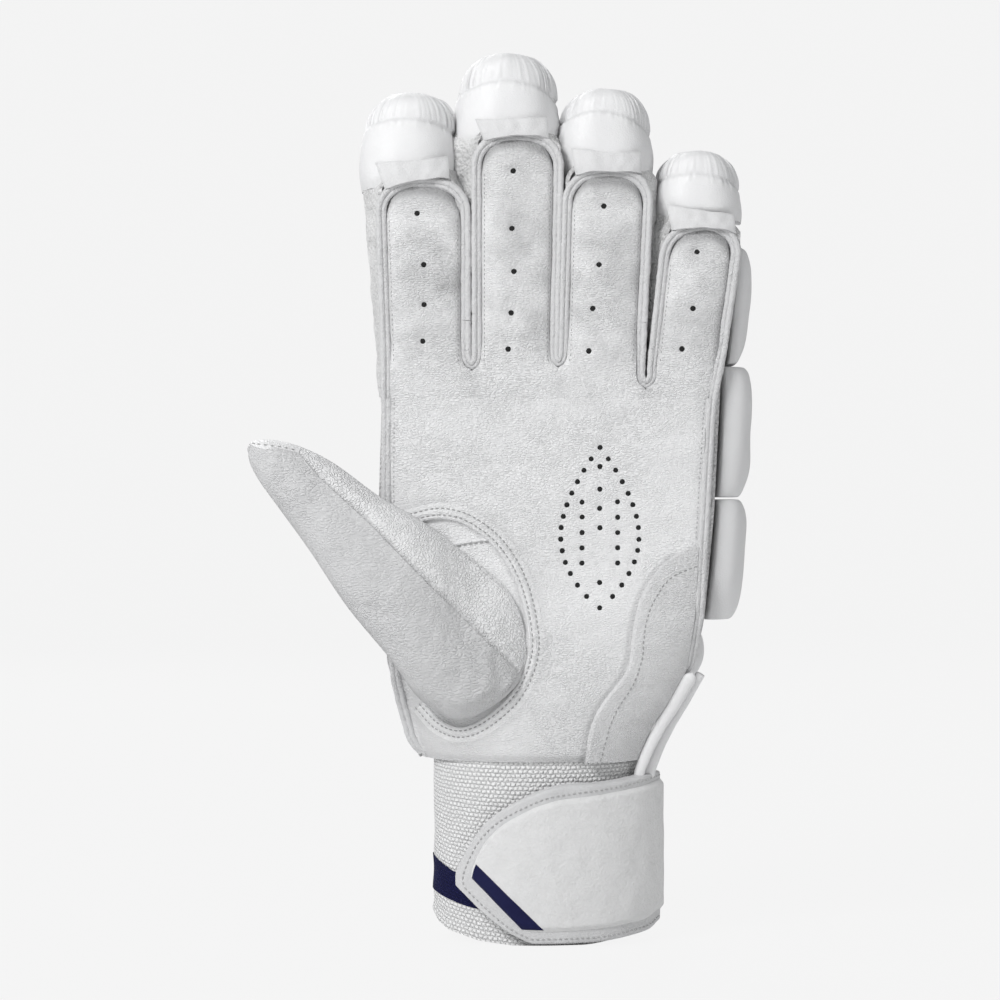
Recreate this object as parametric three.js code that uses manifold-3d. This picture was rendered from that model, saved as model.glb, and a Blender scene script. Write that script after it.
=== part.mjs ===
// A cricket batting glove for the left hand. It stands on the rim of its cuff, fingers up along +Z,
// with the palm towards -Y and the thumb towards -X. All lengths are in millimetres.
//
// Inside the glove's own group the palm side's front plane is y = 0, depth grows towards the back of
// the hand, and z = 0 is the rim. Every finger is cut at its knuckle and at its middle joint. Both
// hinge lines lie in the front plane, so that a bending finger opens at its back and never jams.
import * as THREE from 'three';
import Module from 'manifold-3d';

const wasm = await Module();
wasm.setup();

// Place of the glove in its own frame: the middle of its box is over the origin.
const gloveX = -1.05;
const gloveY = -19.8;

// Materials' thicknesses and the clearances between sewn pieces.
const seamGap = 0.3;
const hingeGap = 0.3;
const leatherThick = 1.2;
const liningThick = 1.5;
const pipingRise = 0.6;
const pipingShare = 0.1;
const patchThick = 0.9;
const heelInset = 2.6;

// Depths of what the hand fills, and of the padding behind it.
const fingerCavity = 22;
const handCavity = 30;
const fingerRollDeep = 21;
const handRollDeep = 17;

// The hand.
const knuckleZ = 175;
const palmLeft = -37.2;
const palmWide = 105.4;
const hemZ = 57;
const palmTall = knuckleZ - hemZ;

// The cuff and its strap.
const cuffX = 12;
const cuffHalfWide = 33.5;
const cuffHalfDeep = 21;
const cuffThick = 2;
const cuffTuck = 8;
const rimRiseLeft = 8;
const rimRiseRight = 3;
const hemGap = 0.6;
const wristBlend = 44;
const touchThick = 1;
const flapThick = 2.5;
const flapTall = 53.5;
const flapFoot = 1.2;

// The thumb: its tip, its direction from the tip to its root, and its size.
const thumbTipX = -75;
const thumbTipZ = 154.1;
const thumbTurn = 43.9;
const thumbLong = 70;
const thumbWide = 36;
const thumbDeep = 19;
const thumbRise = 14.5;
const thumbSeam = 7.8;
const thumbJoint = 29.5;
const thumbPadDeep = 7.5;
const thumbHingeX = -37.8;
const moundFoot = 63.9;
const moundTall = 76.5;
const moundWide = 47.7;

// The fingers. Pairs of sizes hold from the knuckle to the leather's top. X is the glove group's.
const fingers = [
  {
    name: 'index', baseLong: 30.3, leatherLong: 63, capTall: 26.3,
    leatherX: [-23.6, -23.9], leatherWide: [22, 22.4], backX: [-25.1, -27.7], backWide: [24.6, 29.8],
  },
  {
    name: 'middle', baseLong: 37.9, leatherLong: 77.3, capTall: 24.6,
    leatherX: [4.6, 5.4], leatherWide: [22.3, 23.2], backX: [2.9, 3.1], backWide: [30, 30.6],
  },
  {
    name: 'ring', baseLong: 30.6, leatherLong: 66.5, capTall: 24.6,
    leatherX: [31.5, 33.6], leatherWide: [21.4, 22.6], backX: [33, 33.6], backWide: [27.2, 28.2],
  },
  {
    name: 'little', baseLong: 17, leatherLong: 49.4, capTall: 21.9,
    leatherX: [57.8, 63], leatherWide: [18.6, 21], backX: [59.6, 61.5], backWide: [22.2, 25.8],
    sideDeep: 6,
  },
];
const archDrop = 9;
const sleeveInset = 0.9;
const tabTall = 5.5;
const tabThick = 1.5;
const tabTopShare = 0.88;
const capWall = 5.2;
const capHollow = 13;

// Depths that follow from the sizes above.
const leatherBack = pipingRise + leatherThick;
const liningFront = leatherBack + seamGap;
const fingerBack = liningFront + fingerCavity + liningThick;
const fingerRollFoot = fingerBack + seamGap;
const handBack = liningFront + handCavity + liningThick;
const cuffY = liningFront + seamGap + cuffHalfDeep;

// Outlines of the palm leather and of the hand sleeve: [share of palmTall, share of palmWide].
const palmLeftShares = [
  [0, 0.139], [0.09, 0.137], [0.16, 0.09], [0.26, 0.035], [0.468, 0.012], [0.69, 0], [1, 0.01],
];
const palmRightShares = [
  [0, 0.779], [0.085, 0.8], [0.162, 0.855], [0.27, 0.92], [0.38, 0.941], [0.66, 0.959], [1, 0.975],
];
const sleeveRightShares = [
  [0, 0.802], [0.085, 0.81], [0.162, 0.868], [0.27, 0.935], [0.38, 0.956], [0.66, 0.985], [1, 1.004],
];
const heelLeftShares = [
  [0, 0.603], [0.08, 0.615], [0.2, 0.64], [0.3, 0.735], [0.42, 0.756], [0.5, 0.79], [0.56, 0.85],
  [0.585, 0.93],
];

// Outline of the thumb's mound on the palm: [share of moundWide, share of moundTall].
const moundHighShares = [
  [0, 0.995], [0.23, 0.93], [0.37, 0.943], [0.51, 0.939], [0.72, 0.87], [0.89, 0.74], [0.96, 0.6], [1, 0.47],
];
const moundLowShares = [
  [0, 0.397], [0.14, 0.28], [0.34, 0.11], [0.48, 0.03], [0.55, 0], [0.77, 0.07], [0.9, 0.18], [1, 0.37],
];
const moundRiseShares = [[0, 1], [0.3, 0.93], [0.6, 0.78], [0.85, 0.5], [1, 0.2]];

// The thumb's edges and depth: [share of thumbLong, lower edge, upper edge, depth], as shares.
const thumbShares = [
  [0.01, -0.1, 0.14, 0.3], [0.057, -0.147, 0.205, 0.62], [0.15, -0.183, 0.292, 0.85],
  [0.265, -0.233, 0.355, 0.97], [0.486, -0.31, 0.43, 1], [0.765, -0.43, 0.49, 1], [1, -0.5, 0.53, 1],
];

// The strap's flap: [angle round the cuff in degrees, lower edge, upper edge], edges as shares of flapTall.
const flapShares = [
  [-1, 0.1, 1], [-20, 0.06, 0.98], [-45, 0.01, 0.94], [-70, 0, 0.9], [-90, 0, 0.86], [-103, 0.01, 0.8],
  [-112, 0.12, 0.68], [-121, 0.24, 0.52], [-128, 0.33, 0.4], [-131, 0.355, 0.375],
];

// Colours of the soft whites, taken by eye.
const finishes = {
  leather: new THREE.MeshStandardMaterial({ color: '#dcdcdd', roughness: 0.62, metalness: 0 }),
  paddedSkin: new THREE.MeshStandardMaterial({ color: '#ececed', roughness: 0.45, metalness: 0 }),
  towelling: new THREE.MeshStandardMaterial({ color: '#e2e2e2', roughness: 0.95, metalness: 0 }),
  elastic: new THREE.MeshStandardMaterial({ color: '#e4e4e4', roughness: 0.92, metalness: 0 }),
  strapSkin: new THREE.MeshStandardMaterial({ color: '#e9e9ea', roughness: 0.6, metalness: 0 }),
  touchTape: new THREE.MeshStandardMaterial({ color: '#d5d5d6', roughness: 0.98, metalness: 0 }),
};

const mix = (a, b, share) => a + (b - a) * share;
const radians = THREE.MathUtils.degToRad;
const spread = (from, to, steps) => Array.from({ length: steps + 1 }, (_, i) => mix(from, to, i / steps));

// Reads a table of [place, value, ...] rows at one place, straight between its rows.
function readAt(rows, place, column = 1) {
  const next = rows.findIndex((row) => row[0] >= place);
  if (next < 0) return rows[rows.length - 1][column];
  if (next === 0) return rows[0][column];
  const [before, after] = [rows[next - 1], rows[next]];
  return mix(before[column], after[column], (place - before[0]) / (after[0] - before[0]));
}

// A closed solid from its points and its four-cornered or three-cornered faces.
function closedSolid(points, faces) {
  const triangles = faces.flatMap((face) => (face.length === 4
    ? [[face[0], face[1], face[2]], [face[0], face[2], face[3]]]
    : [face]));
  const normal = new THREE.Vector3();
  const volume = triangles.reduce((sum, [a, b, c]) => (
    sum + points[a].dot(normal.crossVectors(points[b], points[c]))), 0);
  const index = triangles.flatMap(([a, b, c]) => (volume > 0 ? [a, b, c] : [a, c, b]));
  return new THREE.BufferGeometry().setFromPoints(points).setIndex(index);
}

// A solid through rings of points, closed by a fan at each end.
function loft(rings) {
  const round = rings[0].length;
  const points = rings.flat();
  const faces = [];
  rings.slice(1).forEach((_, i) => {
    for (let j = 0; j < round; j += 1) {
      const k = (j + 1) % round;
      faces.push([i * round + j, i * round + k, (i + 1) * round + k, (i + 1) * round + j]);
    }
  });
  [rings[0], rings[rings.length - 1]].forEach((ring, end) => {
    const middle = ring.reduce((sum, point) => sum.add(point), new THREE.Vector3()).divideScalar(round);
    const first = end * (rings.length - 1) * round;
    points.push(middle);
    for (let j = 0; j < round; j += 1) {
      const edge = [first + j, first + ((j + 1) % round)];
      faces.push(end ? [edge[0], edge[1], points.length - 1] : [edge[1], edge[0], points.length - 1]);
    }
  });
  return closedSolid(points, faces);
}

// A sheet with a thickness: two grids of points, face and back, joined round their edges.
function sheet(face, back, closed = false) {
  const [rows, columns] = [face.length, face[0].length];
  const points = [...face.flat(), ...back.flat()];
  const f = (i, j) => i * columns + (j % columns);
  const b = (i, j) => rows * columns + f(i, j);
  const faces = [];
  for (let i = 0; i < rows - 1; i += 1) {
    for (let j = 0; j < (closed ? columns : columns - 1); j += 1) {
      faces.push([f(i, j), f(i, j + 1), f(i + 1, j + 1), f(i + 1, j)]);
      faces.push([b(i, j), b(i + 1, j), b(i + 1, j + 1), b(i, j + 1)]);
    }
    if (!closed) {
      faces.push([f(i, 0), f(i + 1, 0), b(i + 1, 0), b(i, 0)]);
      faces.push([f(i + 1, columns - 1), f(i, columns - 1), b(i, columns - 1), b(i + 1, columns - 1)]);
    }
  }
  for (let j = 0; j < (closed ? columns : columns - 1); j += 1) {
    faces.push([f(0, j + 1), f(0, j), b(0, j), b(0, j + 1)]);
    faces.push([f(rows - 1, j), f(rows - 1, j + 1), b(rows - 1, j + 1), b(rows - 1, j)]);
  }
  return closedSolid(points, faces);
}

// Joins and cuts of closed solids.
function toManifold(geometry) {
  const flat = geometry.index ? geometry.toNonIndexed() : geometry;
  const { array } = flat.attributes.position;
  const found = new Map();
  const vertices = [];
  const triangles = [];
  for (let i = 0; i < array.length; i += 3) {
    const point = [array[i], array[i + 1], array[i + 2]];
    const key = point.map((value) => Math.round(value * 1e4)).join();
    if (!found.has(key)) {
      found.set(key, found.size);
      vertices.push(...point);
    }
    triangles.push(found.get(key));
  }
  return new wasm.Manifold(new wasm.Mesh({
    numProp: 3, vertProperties: new Float32Array(vertices), triVerts: new Uint32Array(triangles),
  }));
}
function fromManifold(solid) {
  const mesh = solid.getMesh();
  const geometry = new THREE.BufferGeometry();
  geometry.setAttribute('position', new THREE.BufferAttribute(mesh.vertProperties, 3));
  geometry.setIndex(new THREE.BufferAttribute(mesh.triVerts, 1));
  return geometry;
}
const join = (first, second) => fromManifold(toManifold(first).add(toManifold(second)));
const cut = (first, second) => fromManifold(toManifold(first).subtract(toManifold(second)));

// Moves a flat path of [u, v] points sideways, to its left where the distance is positive.
function offsetPath(path, distance) {
  return path.map(([u, v], i) => {
    const before = path[Math.max(i - 1, 0)];
    const after = path[Math.min(i + 1, path.length - 1)];
    const [du, dv] = [after[0] - before[0], after[1] - before[1]];
    const long = Math.hypot(du, dv);
    return [u - (dv / long) * distance, v + (du / long) * distance];
  });
}

// One point of a rounded oblong: 2 is an ellipse, and higher corners are squarer.
function rounded(angle, corner) {
  const power = (value) => Math.sign(value) * Math.abs(value) ** (2 / corner);
  return [power(Math.cos(angle)), power(Math.sin(angle))];
}

// A stuffed roll, flat where it is sewn down and crowned outwards, drawn in at its foot and its ends.
// place(across, out, along) puts a point of the roll's own frame on the glove.
const rollSteps = 6;
const rollEndShare = 0.42;
const rollSideShare = 0.8;
const rollFootShare = 0.86;
const rollWaistShare = 0.24;
const rollCorner = 2.5;
const rollSection = [
  [-rollFootShare, 0],
  ...spread(Math.PI, 0, 8).map((angle) => {
    const [across, out] = rounded(angle, rollCorner);
    return [across, mix(rollWaistShare, 1, out)];
  }),
  [rollFootShare, 0],
];
function roll({ from, to, middle, halfWide, deep, place }) {
  return loft(spread(0, Math.PI, rollSteps).map((turn) => {
    const end = Math.abs(Math.cos(turn));
    const swell = (1 - end ** rollCorner) ** (1 / rollCorner);
    const along = mix(from, to, (1 - Math.cos(turn)) / 2);
    const wide = halfWide(along) * mix(rollSideShare, 1, swell);
    const high = deep * mix(rollEndShare, 1, swell);
    return rollSection.map(([across, out]) => place(middle(along) + across * wide, out * high, along));
  }));
}

const glove = new THREE.Group();
glove.position.set(gloveX, gloveY, 0);
function add(group, name, geometry, finish) {
  const mesh = new THREE.Mesh(geometry, finishes[finish]);
  mesh.name = name;
  group.add(mesh);
}

// Fingers, each in the frame of its own hinge.

const archPower = 2.3;
const archPipingShare = 0.95;
const crownShare = 0.45;
const shareSlack = 0.01;
const fingerColumnShares = [-1, -0.9, -0.8, -0.4, 0, 0.4, 0.8, 0.9, 1];
const archedRowShares = [0, 0.5, 0.9, 0.955, 1];
const plainRowShares = [0, 0.5, 1];
const leatherArch = (u) => archDrop * (1 - (1 - Math.abs(u) ** archPower) ** (1 / archPower));
const leatherCrown = (u) => pipingRise * mix(crownShare, 1, u * u);
const leatherFace = (u) => (Math.abs(u) > 1 - pipingShare - shareSlack ? 0 : leatherCrown(u));

function leatherX(finger, height, u) {
  const share = height / finger.leatherLong;
  return mix(...finger.leatherX, share) + (u * mix(...finger.leatherWide, share)) / 2;
}

// Front leather from one height to another; where it is arched it ends in a round piped top.
function fingerLeather(finger, start, from, to, arched) {
  const rowShares = arched ? archedRowShares : plainRowShares;
  const grid = (depth) => rowShares.map((rowShare) => fingerColumnShares.map((u) => {
    const top = to - (arched ? leatherArch(u) : 0);
    const z = mix(from, top, rowShare);
    const piped = arched && rowShare > archPipingShare;
    return new THREE.Vector3(leatherX(finger, start + z, u), depth ?? (piped ? 0 : leatherFace(u)), z);
  }));
  return sheet(grid(null), grid(leatherBack));
}

// The sleeve behind the leather: two side strips that flare to the lining under the rolls.
const fingerCorner = 4.5;
function fingerSleeve(finger, start, from, to) {
  const grid = (wall) => [from, to].map((z) => {
    const height = (start + z) / finger.leatherLong;
    return spread(Math.PI, 0, 12).map((angle) => {
      const [across, out] = rounded(angle, fingerCorner);
      const middle = mix(mix(...finger.leatherX, height), mix(...finger.backX, height), out);
      const frontWide = mix(...finger.leatherWide, height);
      const wide = mix(frontWide, mix(...finger.backWide, height), out) / 2 - sleeveInset;
      const depth = liningFront + out * (fingerCavity + liningThick - wall);
      return new THREE.Vector3(middle + across * (wide - wall), depth, z);
    });
  });
  return sheet(grid(0), grid(liningThick));
}

// The roll behind the finger. The little finger's wraps its outer side as well.
const sideRollMiddle = 19;
const sideRollHalf = 14;
const sideRollSink = 0.5;
function fingerRoll(finger, start, from, to) {
  const height = (z) => (start + z) / finger.leatherLong;
  const behind = roll({
    from,
    to,
    middle: (z) => mix(...finger.backX, height(z)),
    halfWide: (z) => mix(...finger.backWide, height(z)) / 2,
    deep: fingerRollDeep,
    place: (across, out, along) => new THREE.Vector3(across, fingerRollFoot + out, along),
  });
  if (!finger.sideDeep) return behind;
  const edge = (z) => mix(...finger.backX, height(z)) + mix(...finger.backWide, height(z)) / 2;
  return join(behind, roll({
    from,
    to,
    middle: () => sideRollMiddle,
    halfWide: () => sideRollHalf,
    deep: finger.sideDeep,
    place: (across, out, along) => new THREE.Vector3(edge(along) - sideRollSink + out, across, along),
  }));
}

// The fingertip cap: a padded dome, hollow from its mouth up.
const capRound = 16;
const capOuterShares = [0, 0.3, 0.58, 0.8, 0.93, 1];
const capInnerShares = [1, 0.6, 0];
const capCorner = 2.7;
const capOuterDome = [2.6, 0.34];
const capInnerDome = [2.4, 0.35];
const capLeanShare = 0.2;
function fingerCap(finger, mouth) {
  const wide = finger.backWide[1] / 2;
  const front = liningFront;
  const deep = (fingerRollFoot + fingerRollDeep - front) / 2;
  const ring = (x, y, halfWide, halfDeep, z) => spread(0, 2 * Math.PI, capRound).slice(1).map((angle) => {
    const [across, out] = rounded(angle, capCorner);
    return new THREE.Vector3(x + across * halfWide, y + out * halfDeep, z);
  });
  const dome = (share, corner, tip) => mix(tip, 1, (1 - share ** corner) ** (1 / corner));
  const hollowDeep = (fingerCavity - capWall / 2) / 2;
  const inner = capInnerShares.map((share) => {
    const size = dome(share, ...capInnerDome);
    const middle = front + capWall / 2 + hollowDeep;
    const z = mouth + capHollow * share;
    return ring(finger.backX[1], middle, (wide - capWall) * size, hollowDeep * size, z);
  });
  const outer = capOuterShares.map((share) => {
    const size = dome(share, ...capOuterDome);
    const middle = front + deep + (1 - size) * deep * capLeanShare;
    return ring(finger.backX[1], middle, wide * size, deep * size, mouth + finger.capTall * share);
  });
  return loft([...inner, ...outer]);
}

// The tab folded over the cap's mouth, which fills the corners over the leather's arch.
function capTab(finger, top) {
  const grid = (depth) => plainRowShares.map((share) => fingerColumnShares.map((u) => {
    const z = mix(top - leatherArch(u) + seamGap, top + tabTall, share);
    return new THREE.Vector3(leatherX(finger, finger.baseLong + z, u * mix(1, tabTopShare, share)), depth, z);
  }));
  return sheet(grid(leatherBack - tabThick), grid(leatherBack));
}

for (const finger of fingers) {
  const base = new THREE.Group();
  base.position.z = knuckleZ;
  glove.add(base);
  const baseTop = finger.baseLong - hingeGap;
  add(base, `${finger.name}_base_leather`, fingerLeather(finger, 0, hingeGap, baseTop, false), 'leather');
  add(base, `${finger.name}_base_sleeve`, fingerSleeve(finger, 0, hingeGap, baseTop), 'towelling');
  add(base, `${finger.name}_base_roll`, fingerRoll(finger, 0, hingeGap, baseTop), 'paddedSkin');

  const tip = new THREE.Group();
  tip.position.z = finger.baseLong;
  base.add(tip);
  const tipLong = finger.leatherLong - finger.baseLong;
  const start = finger.baseLong;
  add(tip, `${finger.name}_tip_leather`, fingerLeather(finger, start, hingeGap, tipLong, true), 'leather');
  add(tip, `${finger.name}_tip_sleeve`, fingerSleeve(finger, start, hingeGap, tipLong), 'towelling');
  add(tip, `${finger.name}_tip_roll`, fingerRoll(finger, start, hingeGap, tipLong), 'paddedSkin');
  add(tip, `${finger.name}_tip_cap`, fingerCap(finger, tipLong + seamGap), 'paddedSkin');
  add(tip, `${finger.name}_tip_tab`, capTab(finger, tipLong), 'paddedSkin');
}

// The hand. The palm side is flat under the fingers and rounds into the cuff's oval at the hem.

const cuffTop = hemZ + cuffTuck;
const hemHalfWide = cuffHalfWide + hemGap + leatherThick;
const hemHalfDeep = cuffHalfDeep + hemGap + leatherThick;
const wristShare = (z) => THREE.MathUtils.smoothstep(cuffTop + wristBlend - z, 0, wristBlend - hemGap);
const palmX = (shares, z) => palmLeft + palmWide * readAt(shares, (z - hemZ) / palmTall);
function palmY(x, z) {
  const widen = (palmX(palmRightShares, z) - palmX(palmLeftShares, z))
    / (palmX(palmRightShares, hemZ) - palmX(palmLeftShares, hemZ));
  const centre = palmX(palmLeftShares, z) + (cuffX - palmX(palmLeftShares, hemZ)) * widen;
  const across = Math.min(Math.abs(x - centre) / (hemHalfWide * widen), 1);
  return mix(pipingRise, cuffY - hemHalfDeep * Math.sqrt(1 - across * across), wristShare(z));
}

// A sheet that follows the palm between two edges, lifted off it by a distance.
function palmSheet(heights, columns, leftEdge, rightEdge, lift, thick) {
  const face = [];
  const back = [];
  for (const z of heights) {
    const path = spread(0, Math.PI, columns).map((angle) => {
      const x = mix(leftEdge(z), rightEdge(z), (1 - Math.cos(angle)) / 2);
      return [x, palmY(x, z)];
    });
    face.push(offsetPath(path, -lift).map(([x, y]) => new THREE.Vector3(x, y, z)));
    back.push(offsetPath(path, thick - lift).map(([x, y]) => new THREE.Vector3(x, y, z)));
  }
  return sheet(face, back);
}

const handShares = [0, 0.06, 0.12, 0.18, 0.25, 0.33, 0.42, 0.5, 0.66];
const handHeights = [...handShares.map((share) => hemZ + palmTall * share), knuckleZ - hingeGap];
const palmColumns = 16;
const palmBlank = palmSheet(
  handHeights,
  palmColumns,
  (z) => palmX(palmLeftShares, z),
  (z) => palmX(palmRightShares, z),
  0,
  leatherThick,
);

// The opening in the palm leather under the thumb's mound, through which the thumb passes.
const holeInset = 7;
const holeShares = spread(0.12, 0.8, 8);
const moundEdge = (shares, share) => moundFoot + moundTall * readAt(shares, share);
const moundX = (share) => thumbHingeX + seamGap + moundWide * share;
function thumbHole() {
  const edge = (shares, inset) => holeShares.map((share) => (
    new THREE.Vector2(moundX(share), moundEdge(shares, share) + inset)));
  const outline = new THREE.Shape([
    ...edge(moundHighShares, -holeInset),
    ...edge(moundLowShares, holeInset).reverse(),
  ]);
  const cutter = new THREE.ExtrudeGeometry(outline, { depth: 2 * thumbDeep, bevelEnabled: false });
  return cutter.rotateX(Math.PI / 2).translate(0, thumbDeep, 0);
}

add(glove, 'palm_leather', cut(palmBlank, thumbHole()), 'leather');

// The patch sewn over the heel of the hand.
const heelTop = heelLeftShares[heelLeftShares.length - 1][0];
const heelColumns = 11;
add(glove, 'heel_patch', palmSheet(
  [...handShares.filter((share) => share < heelTop), heelTop].map((share) => hemZ + palmTall * share),
  heelColumns,
  (z) => palmX(heelLeftShares, z),
  (z) => palmX(palmRightShares, z) - heelInset,
  2 * seamGap + patchThick,
  patchThick,
), 'leather');

// The hand's sleeve: side strips and back lining in one, squarer at the knuckles, oval at the cuff.
const sleeveColumns = 22;
const sleeveLeftProud = 0.5;
const knuckleCorner = 5;
const wristCorner = 2;
function sleevePath(z, wall) {
  const share = wristShare(z);
  const left = Math.min(palmX(palmLeftShares, z) - sleeveLeftProud, cuffX - hemHalfWide - seamGap);
  const right = Math.max(palmX(sleeveRightShares, z), cuffX + hemHalfWide + seamGap);
  const middle = (left + right) / 2;
  const half = (right - left) / 2 - wall;
  const edge = (x) => palmY(x, z) + leatherThick + 2 * seamGap;
  const frontLeft = Math.max(edge(palmX(palmLeftShares, z)), liningFront);
  const frontRight = Math.max(edge(palmX(palmRightShares, z)), liningFront);
  const centre = mix(Math.max(frontLeft, frontRight), cuffY, share);
  const wristBack = cuffY + hemHalfDeep + seamGap + liningThick - leatherThick;
  const deep = mix(handBack, wristBack, share) - centre - wall;
  const corner = mix(knuckleCorner, wristCorner, share);
  const begin = (front) => Math.asin(Math.min(Math.max((centre - front) / deep, 0), 1) ** (corner / 2));
  return spread(Math.PI + begin(frontLeft), -begin(frontRight), sleeveColumns).map((angle) => {
    const [across, out] = rounded(angle, corner);
    return new THREE.Vector3(middle + across * half, centre + out * deep, z);
  });
}
add(glove, 'hand_sleeve', sheet(
  handHeights.map((z) => sleevePath(z, 0)),
  handHeights.map((z) => sleevePath(z, liningThick)),
), 'towelling');

// Where the sleeve's back lies at a height.
const sleeveBack = (z) => Math.max(...sleevePath(z, 0).map((point) => point.y));

// Rolls over the back of the hand: one row over the knuckles, one below it, in line with the fingers.
const knuckleRollFoot = 146;
const backRollFoot = 108;
const backNarrowShare = 0.22;
for (const finger of fingers) {
  const backRoll = (from, to) => roll({
    from,
    to,
    middle: (z) => mix(finger.backX[0], cuffX, backNarrowShare * (knuckleZ - z) / palmTall),
    halfWide: (z) => (finger.backWide[0] / 2) * (1 - backNarrowShare * ((knuckleZ - z) / palmTall)),
    deep: handRollDeep,
    place: (across, out, along) => new THREE.Vector3(across, sleeveBack(along) + seamGap + out, along),
  });
  const knuckleRoll = backRoll(knuckleRollFoot + seamGap, knuckleZ - hingeGap);
  add(glove, `${finger.name}_knuckle_roll`, knuckleRoll, 'paddedSkin');
  add(glove, `${finger.name}_back_roll`, backRoll(backRollFoot, knuckleRollFoot - seamGap), 'paddedSkin');
}

// Two rolls down the little-finger side of the hand.
const handSideMiddle = 19;
const handSideHalf = 13;
const handSideDeep = 9.6;
const sideRollSplit = 139.4;
const sideRollFoot = 101.4;
const handSideRoll = (from, to) => roll({
  from,
  to,
  middle: () => handSideMiddle,
  halfWide: () => handSideHalf,
  deep: handSideDeep,
  place: (across, out, along) => (
    new THREE.Vector3(palmX(sleeveRightShares, along) + seamGap + out, across, along)),
});
add(glove, 'upper_side_roll', handSideRoll(sideRollSplit + seamGap, knuckleZ - hingeGap), 'paddedSkin');
add(glove, 'lower_side_roll', handSideRoll(sideRollFoot, sideRollSplit - seamGap), 'paddedSkin');

// The wrist roll: one sausage across the back, which follows the sleeve's curve.
const wristRollFoot = 77;
const wristRollTop = 100.5;
const wristRollDeep = 12;
const wristRollBeginShare = 0.2;
const wristRollEndShare = 0.86;
const wristRollNarrowShare = 0.62;
function wristRoll() {
  const between = handHeights.filter((z) => z > wristRollFoot && z < wristRollTop);
  const heights = [wristRollFoot, ...between, wristRollTop];
  const middle = (wristRollFoot + wristRollTop) / 2;
  const lifted = (z, column, lift) => {
    const path = sleevePath(z, 0).map((point) => [point.x, point.y]);
    const [x, y] = offsetPath(path, lift)[column];
    return new THREE.Vector3(x, y, z);
  };
  const first = Math.round(sleeveColumns * wristRollBeginShare);
  const last = Math.round(sleeveColumns * wristRollEndShare);
  const rings = [];
  for (let column = first; column <= last; column += 1) {
    const turn = (Math.PI * (column - first)) / (last - first);
    const swell = mix(rollEndShare, 1, Math.sin(turn) ** 0.5);
    const drawn = (z) => mix(middle, z, mix(wristRollNarrowShare, 1, Math.sin(turn) ** 0.5));
    const foot = heights.map((z) => lifted(drawn(z), column, seamGap + hemGap));
    const crown = spread(Math.PI, 0, 6).slice(1, -1).map((angle) => {
      const [across, out] = rounded(angle, rollCorner);
      const lift = seamGap + hemGap + out * wristRollDeep * swell;
      return lifted(drawn(wristRollFoot), column, lift)
        .lerp(lifted(drawn(wristRollTop), column, lift), (1 + across) / 2);
    });
    rings.push([...foot, ...crown.reverse()]);
  }
  return loft(rings);
}
add(glove, 'wrist_roll', wristRoll(), 'paddedSkin');

// The rolled welt beside the hem, on the little-finger side.
const weltRadius = 1.9;
const weltFoot = 59.5;
const weltTop = 85;
{
  const rings = spread(weltFoot, weltTop, 7).map((z) => {
    const x = palmX(palmRightShares, z);
    const slope = (palmY(x, z) - palmY(x - weltRadius, z)) / weltRadius;
    const lift = (weltRadius + 2 * seamGap) / Math.hypot(slope, 1);
    return spread(0, 2 * Math.PI, 8).slice(1).map((angle) => new THREE.Vector3(
      x + slope * lift + Math.cos(angle) * weltRadius,
      palmY(x, z) - lift + Math.sin(angle) * weltRadius,
      z,
    ));
  });
  add(glove, 'wrist_welt', loft(rings), 'leather');
}

// The cuff, its touch tape and its strap.

const cuffPoint = (angle, lift, z) => new THREE.Vector3(
  cuffX + (cuffHalfWide + lift) * Math.cos(angle),
  cuffY + (cuffHalfDeep + lift) * Math.sin(angle),
  z,
);
const rimFlatShare = 0.55;
function rimZ(angle) {
  const across = Math.cos(angle);
  const rise = across < 0 ? rimRiseLeft : rimRiseRight;
  return rise * THREE.MathUtils.smoothstep(Math.abs(across), rimFlatShare, 1);
}
const bandRowShares = [0, 0.5, 1];
const cuffAngles = spread(0, 2 * Math.PI, 36).slice(1);
const cuffGrid = (lift) => bandRowShares.map((share) => (
  cuffAngles.map((angle) => cuffPoint(angle, lift, mix(rimZ(angle), cuffTop, share)))));
add(glove, 'cuff', sheet(cuffGrid(0), cuffGrid(-cuffThick), true), 'elastic');

// A band laid round the cuff between two angles, from one lift to another.
function cuffBand(angles, edges, liftAt, thick) {
  const grid = (extra) => bandRowShares.map((share) => angles.map((degrees) => {
    const [low, high] = edges(degrees);
    return cuffPoint(radians(degrees), liftAt(degrees) + extra, mix(low, high, share));
  }));
  return sheet(grid(thick), grid(0));
}
const loopLift = seamGap;
const hookLift = loopLift + touchThick + seamGap;
const flapLift = hookLift + touchThick + seamGap;
const touchFootShare = 0.22;
const touchTopShare = 0.64;
const touchAngles = spread(-40, -108, 9);
const anchorAngles = spread(1, 62, 8);
const anchorFootShare = 0.12;
const anchorDropDegrees = 50;
const touchEdges = () => [flapFoot + flapTall * touchFootShare, flapFoot + flapTall * touchTopShare];
add(glove, 'loop_patch', cuffBand(touchAngles, touchEdges, () => loopLift, touchThick), 'touchTape');

const anchorEdges = () => [flapFoot + flapTall * anchorFootShare, flapFoot + flapTall];
const anchorLift = (degrees) => (
  mix(flapLift, seamGap, THREE.MathUtils.smoothstep(degrees, 0, anchorDropDegrees)));
add(glove, 'strap_anchor', cuffBand(anchorAngles, anchorEdges, anchorLift, flapThick), 'strapSkin');

const strap = new THREE.Group();
glove.add(strap);
const flapAngles = [-1, -10, -20, -32, -45, -58, -70, -80, -90, -97, -103, -112, -121, -128, -131];
const flapEdges = (degrees) => [1, 2].map((column) => (
  flapFoot + flapTall * readAt([...flapShares].reverse(), degrees, column)));
add(strap, 'strap_flap', cuffBand(flapAngles, flapEdges, () => flapLift, flapThick), 'strapSkin');
add(strap, 'hook_patch', cuffBand(touchAngles, touchEdges, () => hookLift, touchThick), 'touchTape');

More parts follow.
